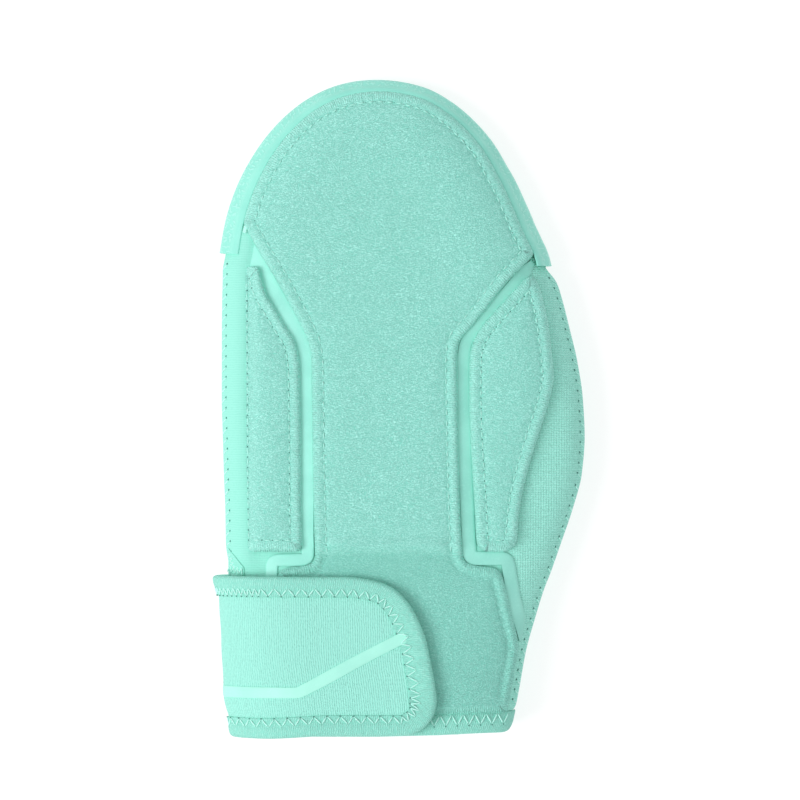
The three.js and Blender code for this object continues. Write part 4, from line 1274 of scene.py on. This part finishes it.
# %% The strap's wrap
STRAP_REACH = 83.3
BORDER_ROOT, CORE_ROOT, ROOT_SEAM = -90.0, -88.0, -84.0
STRAP_FLARE = 1.5
STRAP_BULGE = 1.4
STRAP_FOOT_RISE = 1.6
STRAP_END_RISE = 1.0
STRAP_FRONT_LIFT = 5.1
STRAP_FOOT = -STRAP_DROP
STRAP_END = np.array([
    (0.0, 0.85), (0.012, 0.864), (0.037, 0.906), (0.087, 0.954), (0.155, 0.985), (0.25, 1.0),
    (0.446, 0.997), (0.588, 0.982), (0.724, 0.946), (0.817, 0.909), (0.904, 0.852), (0.954, 0.794),
    (0.984, 0.715), (1.0, 0.62),
])


def strap_centre(along, y):
    inwards = np.abs(along)
    y = y + STRAP_FOOT_RISE * smooth_step(along, 10, 42) * (1 - smooth_step(y, 4, 22))
    x = -(half_width(-1, y) + STRAP_EDGE_LIFT) + inwards
    rise = smooth_step(inwards, 0, FRONT_RISE / 2)
    lift = STRAP_EDGE_LIFT + (STRAP_FRONT_LIFT - STRAP_EDGE_LIFT) * rise
    over = front_height(x, y, lift, STRAP_EDGE_LIFT)
    under = palm_height(x, y, STRAP_EDGE_LIFT)
    bulge = STRAP_BULGE * bell(y, 15, 9) * (1 - smooth_step(inwards, 0, 22))
    return np.stack(np.broadcast_arrays(x - bulge, y, np.where(along < 0, under, over)), axis=-1)


def strap_point(along, y, offset):
    """The flat drawing wrapped round the mitt, moved outwards from the strap's middle by an offset."""
    along, y, offset = np.broadcast_arrays(np.asarray(along, float), y, offset)
    nudge = 0.5
    heading = strap_centre(along + nudge, y) - strap_centre(along - nudge, y)
    heading /= np.linalg.norm(heading, axis=-1)[..., None]
    outwards = np.stack([-heading[..., 2], 0 * along, heading[..., 0]], axis=-1)
    fade = np.where(along < 0, PALM_RISE / 2, FRONT_RISE)
    off = smooth_step(y, STRAP_WIDTH * 0.6, STRAP_WIDTH) * (1 - smooth_step(np.abs(along), 0, fade))
    end_rise = STRAP_END_RISE * smooth_step(along, STRAP_REACH - 20, STRAP_REACH)
    return strap_centre(along, y) + outwards * (offset + STRAP_FLARE * off + end_rise)[..., None]


def strap_end_at(y):
    return read(STRAP_END, 1, (y - STRAP_FOOT) / STRAP_WIDTH) * STRAP_REACH


SPAN = np.arange(-95.0, 95.0, 0.1)
SPAN_LENGTH = distances(strap_centre(SPAN, STRAP_FOOT + STRAP_WIDTH / 2))


def real_length(along):
    """Length of the wrapped strap up to a place of the flat drawing."""
    return np.interp(along, SPAN, SPAN_LENGTH)


strap_length = float(real_length(STRAP_REACH) - real_length(CORE_ROOT))
print("strap length, mm:", round(strap_length, 1))

# %% [markdown]
# The strap's edge runs from the root along the wrist, round the free end and back. The border follows it,
# so the edge is walked in even steps of real length, and at each step it has a direction inwards. Round
# the free end the border is wider than along the sides.

# %% The strap's edge
BORDER_SIDE, BORDER_END = 8.3, 11.0
PATH_STEP = 0.75


def strap_edge_path():
    """The strap's edge from the root round the free end and back, in steps of real length."""
    share = 1 - np.cos(np.linspace(0, QUARTER_TURN, 90))
    up = np.concatenate([share * 0.5, 1 - share[::-1][1:] * 0.5])
    end = np.column_stack([read(STRAP_END, 1, up) * STRAP_REACH, STRAP_FOOT + up * STRAP_WIDTH])
    count = 159
    bottom = np.column_stack([
        np.linspace(BORDER_ROOT, end[0, 0], count + 1)[:-1], np.full(count, STRAP_FOOT)])
    top = np.column_stack([
        np.linspace(end[-1, 0], BORDER_ROOT, count + 1)[1:], np.full(count, STRAP_FOOT + STRAP_WIDTH)])
    path = np.concatenate([bottom, end, top])
    along = distances(path)
    even = walked(path, along, np.linspace(0, along[-1], int(along[-1] / 0.7)))
    even = softened(even, 3, closed=False)
    length = distances(np.column_stack([real_length(even[:, 0]), even[:, 1]]))
    at = np.linspace(0, length[-1], int(length[-1] / PATH_STEP))
    return walked(even, length, at), at


def eased_normals(path, reach):
    """Normals that turn slowly, so that the border doesn't fold up in the corners."""
    heading = headings(path)
    window = np.hanning(reach * 2 + 1)
    wide = np.column_stack([
        np.convolve(np.pad(heading[:, k], reach, mode="edge"), window / window.sum(), mode="valid")
        for k in (0, 1)])
    wide /= np.linalg.norm(wide, axis=1)[:, None]
    return np.column_stack([-wide[:, 1], wide[:, 0]])


strap_edge, strap_edge_at = strap_edge_path()
edge_inwards = eased_normals(strap_edge, 7)
border_width = BORDER_SIDE + (BORDER_END - BORDER_SIDE) * np.clip(-edge_inwards[:, 0], 0, 1) ** 2
print("length of the strap's edge, mm:", round(float(strap_edge_at[-1]), 1))

# %% [markdown]
# The border is a second tape, folded over the edge and caught by a zigzag. Its inner rim and its outer edge
# run side by side, so it is a grid of places along the edge and depths in from it. It arches between the
# edge and the stitches. A bevel on the strap's outline couldn't widen at the end or lie flat at its rim.

# %% Strap border
BORDER_WALL = 0.8
HALF_STRAP = STRAP_THICKNESS / 2


def border_point(at, depth_share, offset):
    """A place on the border: a distance along the strap's edge and a share of the border's width."""
    columns = *strap_edge.T, *edge_inwards.T, border_width
    x, y, normal_x, normal_y, width = (np.interp(at, strap_edge_at, column) for column in columns)
    depth = depth_share * width
    along = x + normal_x * depth
    room = HALF_STRAP + (offset - HALF_STRAP) * smooth_step(along, -6, 2)
    return strap_point(along, y + normal_y * depth, np.minimum(offset, room))


def border_arch(share):
    """Offset of the border's face: round at the edge, arched, then drawn down to the stitched rim."""
    edge = np.sqrt(np.clip(1 - (1 - np.clip(share / 0.16, 0, 1)) ** 2, 0, 1))
    arch = 0.55 * np.sin(np.pi * np.clip(share / 0.62, 0, 1)) ** 0.7
    sunk = 0.45 * smooth_step(share, 0.5, 0.95)
    return HALF_STRAP * (0.12 + 0.88 * edge) + arch * edge - sunk


def border_grid():
    """The outer and the inner face of the tape, from its front rim round the edge to its back rim."""
    face = np.array([1, 0.985, 0.95, 0.88, 0.8, 0.7, 0.6, 0.5, 0.4, 0.3, 0.2, 0.12, 0.06, 0.02, 0])
    back = face[::-1][1:]
    shares = np.concatenate([face, back])
    arched = np.where(face > 0.99, HALF_STRAP - BORDER_WALL, border_arch(face))
    outer = np.concatenate([arched, -np.minimum(border_arch(back), HALF_STRAP)])
    hold = HALF_STRAP - BORDER_WALL - 0.35
    held = np.linspace(hold, hold * 0.2, len(face))
    inner = np.concatenate([held, -held[::-1][1:]])
    at = strap_edge_at[:, None]
    return border_point(at, shares, outer), border_point(at, np.maximum(shares, 0.14), inner)


border_skin, border_lining = border_grid()
border_across = distances(border_skin[len(border_skin) // 3])[None, :]
sewn(
    "strap_border", *between(border_skin, border_lining), BOUND_TAPE, "bound_tape",
    cloth=grid_map(strap_edge_at[:, None], border_across), stands_for=["strap_binding"],
)

# %% [markdown]
# The core of the strap is two layers of knit over thin foam. It reaches from its root to just inside the
# fold of the border, and it is a little fuller in the middle than along the stitches. The stripe is a band
# of glossy film, level round the wrist edge and then slanting up, that ends under the border.

# %% Strap core and stripe
STRAP_CORE, CORE_SWELL, CORE_INSET = 2.0, 0.45, 1.6
STRIPE_WIDTH = 4.5


def core_grid(sign):
    """One face of the core with its flat places; only the outer face swells, away from its edges."""
    up = np.linspace(0, 1, 64)[:, None]
    y = STRAP_FOOT + CORE_INSET + up * (STRAP_WIDTH - 2 * CORE_INSET)
    end = np.minimum(strap_end_at(y - CORE_INSET), strap_end_at(y + CORE_INSET)) - CORE_INSET
    root_length = real_length(CORE_ROOT)
    length = root_length + (real_length(end) - root_length) * np.linspace(0, 1, 230)
    along = np.interp(length, SPAN_LENGTH, SPAN)
    edge_gap = np.minimum(np.minimum(up, 1 - up) * STRAP_WIDTH, np.minimum(end - along, along - CORE_ROOT))
    swell = CORE_SWELL * smooth_step(edge_gap, 6, 16) if sign > 0 else 0
    return strap_point(along, y, sign * STRAP_CORE / 2 + swell), along, y


core_top, core_along, core_up = core_grid(1)
core_under = core_grid(-1)[0]
sewn(
    "strap_core", *between(core_top, core_under), STRAP_KNIT, "strap_knit",
    cloth=grid_map(real_length(core_along), core_up), stands_for=["strap"],
)

STRIPE_ROUTE = np.array([(-24.0, 0.285), (28.3, 0.285), (69.6, 0.606), (76.0, 0.656)])
STRIPE_SIDES = np.array([-0.5, -0.47, -0.35, -0.12, 0.12, 0.35, 0.47, 0.5])


def stripe_grid():
    route = np.column_stack([STRIPE_ROUTE[:, 0], STRAP_FOOT + STRIPE_ROUTE[:, 1] * STRAP_WIDTH])
    length = distances(route)
    at = np.arange(0, length[-1], 0.7)
    line = softened(walked(route, length, at), 2, closed=False)
    heading = headings(line)
    along = line[:, :1] - heading[:, 1:] * STRIPE_SIDES * STRIPE_WIDTH
    up = line[:, 1:] + heading[:, :1] * STRIPE_SIDES * STRIPE_WIDTH
    proud = 0.3 + 0.22 * np.sqrt(1 - (STRIPE_SIDES * 1.98) ** 2)
    seat = STRAP_CORE / 2 + CORE_SWELL
    return strap_point(along, up, seat + proud), strap_point(along, up, seat - 0.1), at


stripe_upper, stripe_lower, stripe_at = stripe_grid()
sewn(
    "strap_gloss_stripe", *between(stripe_upper, stripe_lower), GLOSS_STRIPE, "gloss_stripe",
    cloth=grid_map(stripe_at[:, None], np.arange(len(STRIPE_SIDES))), stands_for=["strap_stripe"],
)

# %% [markdown]
# Behind the free end of the strap sits the hook patch that grips the loop fabric of the wrist panel. It
# can't be seen while the strap is closed, so it is one plain piece, and its field of small hooks is left
# to the material.

# %% Hook patch
PATCH_LENGTH, PATCH_HEIGHT, PATCH_THICKNESS = 34.0, 40.0, 0.8


def patch_grid(offset):
    end = STRAP_REACH * 0.8 - BORDER_END
    middle = STRAP_FOOT + 0.45 * STRAP_WIDTH
    along = end - PATCH_LENGTH * (1 - np.linspace(0, 1, 30))
    up = middle + PATCH_HEIGHT * np.linspace(-0.5, 0.5, 34)[:, None]
    return strap_point(along, up, offset)


patch_top = -STRAP_CORE / 2 - GAP
sewn(
    "hook_field", *between(patch_grid(patch_top), patch_grid(patch_top - PATCH_THICKNESS)),
    HOOK_PLASTIC, "hook_tape", stands_for=["hook_patch"],
)

# %% [markdown]
# Sewing is drawn last, because it lies on everything else. A stitch is a short piece of thread that comes
# up through one needle hole and goes down through the next, so each one is a thin tube, bowed over the
# cloth, whose ends sink into the groove. All the stitches of a seam make one mesh. A small dot painted
# dark at the end of each stands for the needle hole: painted shade for the hollow of the hole.

# %% Helpers for thread
def tubes(paths, radius, sides=6):
    """Many short tubes in one mesh: paths is (count, steps, 3) and ends are closed to a point."""
    paths = np.asarray(paths, float)
    count, steps = paths.shape[:2]
    heading = np.gradient(paths, axis=1)
    heading /= np.linalg.norm(heading, axis=2)[..., None] + 1e-12
    up = np.zeros_like(heading)
    up[..., 2] = 1
    across = np.cross(heading, up)
    across /= np.linalg.norm(across, axis=2)[..., None] + 1e-9
    over = np.cross(across, heading)
    taper = np.sin(np.linspace(0, math.pi, steps)) ** 0.35
    taper[0] = taper[-1] = 0.12
    turn = np.arange(sides) * 2 * math.pi / sides
    ring = across[:, :, None] * np.cos(turn)[:, None] + over[:, :, None] * np.sin(turn)[:, None]
    points = paths[:, :, None] + ring * (radius * taper)[:, None, None]
    index = np.arange(count * steps * sides).reshape(count, steps, sides)
    turned = np.roll(index, -1, axis=2)
    walls = np.stack([index[:, :-1], turned[:, :-1], turned[:, 1:], index[:, 1:]], axis=-1).reshape(-1, 4)
    caps = [*index[:, 0].tolist(), *index[:, -1].tolist()]
    length = np.linalg.norm(np.diff(paths, axis=1), axis=2)
    along = np.concatenate([np.zeros((count, 1)), np.cumsum(length, axis=1)], axis=1)
    cloth = np.stack(np.broadcast_arrays(along[:, :, None], turn * 0.25), axis=-1).reshape(-1, 2)
    return points.reshape(-1, 3), [*walls.tolist(), *caps], cloth


def thread_piece(name, paths, radius, material=SEWING_THREAD):
    points, faces, cloth = tubes(paths, radius)
    sewn(name, points, faces, material, "bound_tape", cloth=cloth, sharp=180)


def dots(name, centres, radius):
    """Needle holes: small flat domes set into the cloth, painted dark as the shade inside each hole."""
    sides = 7
    turn = np.arange(sides) * 2 * math.pi / sides
    rim = np.column_stack([np.cos(turn), np.sin(turn), 0 * turn]) * radius
    centres = np.asarray(centres, float)
    rims = (centres[:, None] + rim).reshape(-1, 3)
    points = np.concatenate([rims, centres + [0, 0, 0.12], centres - [0, 0, 0.35]])
    top, bottom = np.arange(len(rims), len(points)).reshape(2, -1)
    one = np.arange(len(rims)).reshape(-1, sides)
    faces = []
    for a, b in zip(one.T, np.roll(one, -1, axis=1).T):
        faces += [*zip(a.tolist(), b.tolist(), top.tolist()), *zip(b.tolist(), a.tolist(), bottom.tolist())]
    sewn(name, points, faces, PAINTED_HOLE_SHADE, "bound_tape", cloth=points[:, :2], sharp=180)


# %% [markdown]
# The lockstitch of each pad follows the groove that the pad was given. The seam's places are read back
# from the same edge, so a thread lies over each hollow of the groove and a hole between two threads. The
# centre pad is lockstitched only above its step, so its line is turned to begin in the wrist panel and
# cut off below the step. Threads on tight corners that come out too short or too long are left out.

# %% Lockstitches of the pads
THREAD_SHARE = 0.62
THREAD_STEPS = 7


def groove_line(seam):
    """The path of the groove inside an edge, with its places, without the loops of tight corners."""
    edge = seam[:, :2]
    nearest = tree_of(edge)
    moved = edge + inward_normals(edge) * STITCH_DEPTH
    keep = np.array([nearest.find((x, y, 0))[2] > STITCH_DEPTH * 0.95 for x, y in moved])
    return np.column_stack([moved, seam[:, 2]])[keep]


def lockstitches(name, line, pad_height):
    first, last = int(line[0, 2] // PAD_STITCH) + 1, int(line[-1, 2] // PAD_STITCH)
    random = np.random.default_rng(7)
    bow = 0.28 * np.sin(np.linspace(0, math.pi, THREAD_STEPS))

    def groove(place):
        x, y = (np.interp(place, line[:, 2], line[:, k]) for k in (0, 1))
        return np.stack([x, y, pad_height(x, y, STITCH_DEPTH, place)], axis=-1)

    paths, holes = [], []
    for k in range(first, last):
        begin = (k + (1 - THREAD_SHARE) / 2) * PAD_STITCH + random.normal(0, 0.12)
        thread = groove(np.linspace(begin, begin + THREAD_SHARE * PAD_STITCH, THREAD_STEPS))
        if 1.2 < distances(thread[:, :2])[-1] < 5.5:
            thread[:, 2] += bow
            paths.append(thread)
            holes.append(groove(k * PAD_STITCH) + [0, 0, 0.14])
    thread_piece(name, paths, 0.27, PAD_THREAD)
    dots(name + "_holes", holes, 0.36)


centre_line = groove_line(centre_edge)
in_the_panel = int(np.argmax(centre_line[:, 1] < 20))
centre_line = np.roll(centre_line, -in_the_panel, axis=0)
along_seam = centre_line[:, 2]
centre_line[:, 2] = np.where(along_seam < along_seam[0], along_seam + along_seam.max(), along_seam)
centre_line = centre_line[centre_line[:, 1] > 66]
for name, line, pad_height in (
    ("centre_seam", centre_line, centre_height), ("right_pad_seam", groove_line(right_edge), side_height),
    ("left_pad_seam", groove_line(left_edge), left_height),
):
    lockstitches(name, line, pad_height)

# %% [markdown]
# The borders are caught with a zigzag: each stitch slants from the rim of the tape to the middle of it and
# back. On the strap its points are placed along the edge, closer together where the seam ends at the top,
# and on the hem across the wrist. A third zigzag, under the palm, sews the strap's root down.

# %% Zigzags
ZIGZAG_HALF = 2.65
ZIGZAG_OUTER, ZIGZAG_INNER = 0.56, 0.97
CROWDED_ACROSS, CROWDED_SHARE = 17, 0.45


def zigzag(places, outer, inner, surface, bow=0.22):
    """Threads on a surface between points that lie by turns at its outer and its inner side."""
    ends = np.column_stack([places, np.where(np.arange(len(places)) % 2, inner, outer)])
    t = np.linspace(0.04, 0.96, THREAD_STEPS)
    threads = []
    for start, end in zip(ends, ends[1:]):
        spots = np.array([surface(*(start + (end - start) * share)) for share in t])
        spots[:, 2] += bow * np.sin(np.pi * t)
        threads.append(spots)
    return threads


def border_surface(at, share):
    return border_point(at, share, border_arch(share) + 0.12)


visible = strap_edge_at[strap_edge[:, 0] > -3]
zigzag_at = [visible[0]]
while zigzag_at[-1] < visible[-1]:
    across, up = walked(strap_edge, strap_edge_at, zigzag_at[-1])[0]
    crowded = across < CROWDED_ACROSS and up > STRAP_WIDTH / 2
    zigzag_at.append(zigzag_at[-1] + ZIGZAG_HALF * (CROWDED_SHARE if crowded else 1))
thread_piece("strap_zigzag", zigzag(zigzag_at, ZIGZAG_OUTER, ZIGZAG_INNER, border_surface), 0.31)
dots("strap_zigzag_holes", [border_surface(at, ZIGZAG_INNER) for at in zigzag_at[1:-1:2]], 0.34)


def root_surface(y, along):
    return strap_point(along, y, STRAP_CORE / 2 + 0.05)


root_y = np.arange(9.0, STRAP_WIDTH - 9.0, ZIGZAG_HALF)
thread_piece("root_zigzag", zigzag(root_y, ROOT_SEAM, ROOT_SEAM + 3.4, root_surface, bow=0), 0.28)


def hem_surface(x, y):
    arch = 0.45 * np.sin(np.pi * np.clip(y / HEM_FRONT, 0, 1))
    return mouth_curved(np.array([x, y, front_height(x, y, GAP + HEM_WALL + arch) + 0.1]))


HEM_PITCH = 4.65
HEM_LOW, HEM_HIGH, HEM_HOLE = 3.9, 8.3, 3.6
hem_x = np.arange(18.0, half_width(1, 5.0) - 1.0, HEM_PITCH / 2)
thread_piece("hem_zigzag", zigzag(hem_x, HEM_LOW, HEM_HIGH, hem_surface), 0.3)
dots("hem_zigzag_holes", [hem_surface(x, HEM_HOLE) for x in hem_x[:-1:2]], 0.33)

# %% [markdown]
# Round the edge the two shells are joined by an overlocked seam: a thread crosses the edge at a slant every
# four millimetres or so, and its needle holes show as a row of dots two millimetres inside the outline.
# The thread is finest along the gusset, where it sinks into the knit, and stands out more by the wrist.

# %% Edge seam
HOLE_INSET = 2.1


def edge_seam(name, side, first, last, radius):
    """A seam along one side, between two heights up the body."""

    def on_edge(inset, y, lift):
        x = side * (half_width(side, y) - inset)
        return mouth_curved(np.stack([x, y, front_skin(x, y, 0) + lift], axis=-1))

    y = np.arange(first, last, EDGE_STITCH)
    t = np.linspace(0, 1, THREAD_STEPS)
    inset, up = radius * 0.6 + 1.7 * t ** 1.2, y[:, None] - 2.3 + 1.9 * t
    thread_piece(name, on_edge(inset, up, radius * 0.8), radius)
    dots(name + "_holes", on_edge(HOLE_INSET, y, 0.06), 0.48)


edge_seam("left_edge_seam", -1, 66.0, 192.0, 0.34)
edge_seam("right_edge_seam", 1, 106.0, 186.0, 0.2)
edge_seam("wrist_edge_seam", 1, 14.0, 104.0, 0.32)

# %% [markdown]
# Two small things show that the mitt is sewn by hand at its corners. Next to the strap the knit of the left
# margin is turned in to a triangle, and two bartacks, tight clusters of zigzag, hold it along its two free
# sides. A third bartack holds the end of the left film under the foot of the guard.

# %% Folded corner and bartacks
FOLD_TOP, FOLD_LENGTH, FOLD_WIDTH = 75.5, 14.0, 6.4
FOLD_EDGE = -60.6


def fold_grid(lift):
    """A triangle that widens quickly on its way down, rolled up along its inner side."""
    down = np.linspace(0, 1, 14)[:, None]
    across = np.linspace(0, 1, 9)
    y = FOLD_TOP - FOLD_LENGTH * down
    x = FOLD_EDGE + (0.2 + FOLD_WIDTH * np.clip(down / 0.55, 0, 1)) * across
    rolled = lift * np.sin(np.pi * (0.12 + 0.8 * across)) ** 0.5
    return np.stack(np.broadcast_arrays(x, y, front_skin(x, y, 0) + rolled), axis=-1)


def bartack(centre, heading, length, width, count=9):
    """A cluster of threads that cross a short line from side to side."""
    heading = np.array([math.cos(heading), math.sin(heading)])
    side = np.array([-heading[1], heading[0]])
    paths = []
    for k in range(count):
        start = np.array(centre) + heading * length * (k / count - 0.5) - side * width / 2 * (-1) ** k
        end = np.array(centre) + heading * length * ((k + 1) / count - 0.5) + side * width / 2 * (-1) ** k
        t = np.linspace(0, 1, THREAD_STEPS)[:, None]
        flat = start * (1 - t) + end * t
        rise = front_skin(flat[:, 0], flat[:, 1], 0) + 0.85 + 0.2 * np.sin(np.pi * t[:, 0])
        paths.append(np.column_stack([flat, rise]))
    return paths


sewn("folded_corner", *between(fold_grid(0.9), fold_grid(-0.3)), SHELL_KNIT, "mesh_knit")
corner_tacks = bartack((-57.6, 66.8), -0.2, 6.4, 3.2, 8) + bartack((-59.2, 70.4), -1.2, 7.0, 1.6, 8)
thread_piece("bartacks", corner_tacks + bartack((-53.6, 204.6), 1.35, 3.2, 1.9), 0.27)
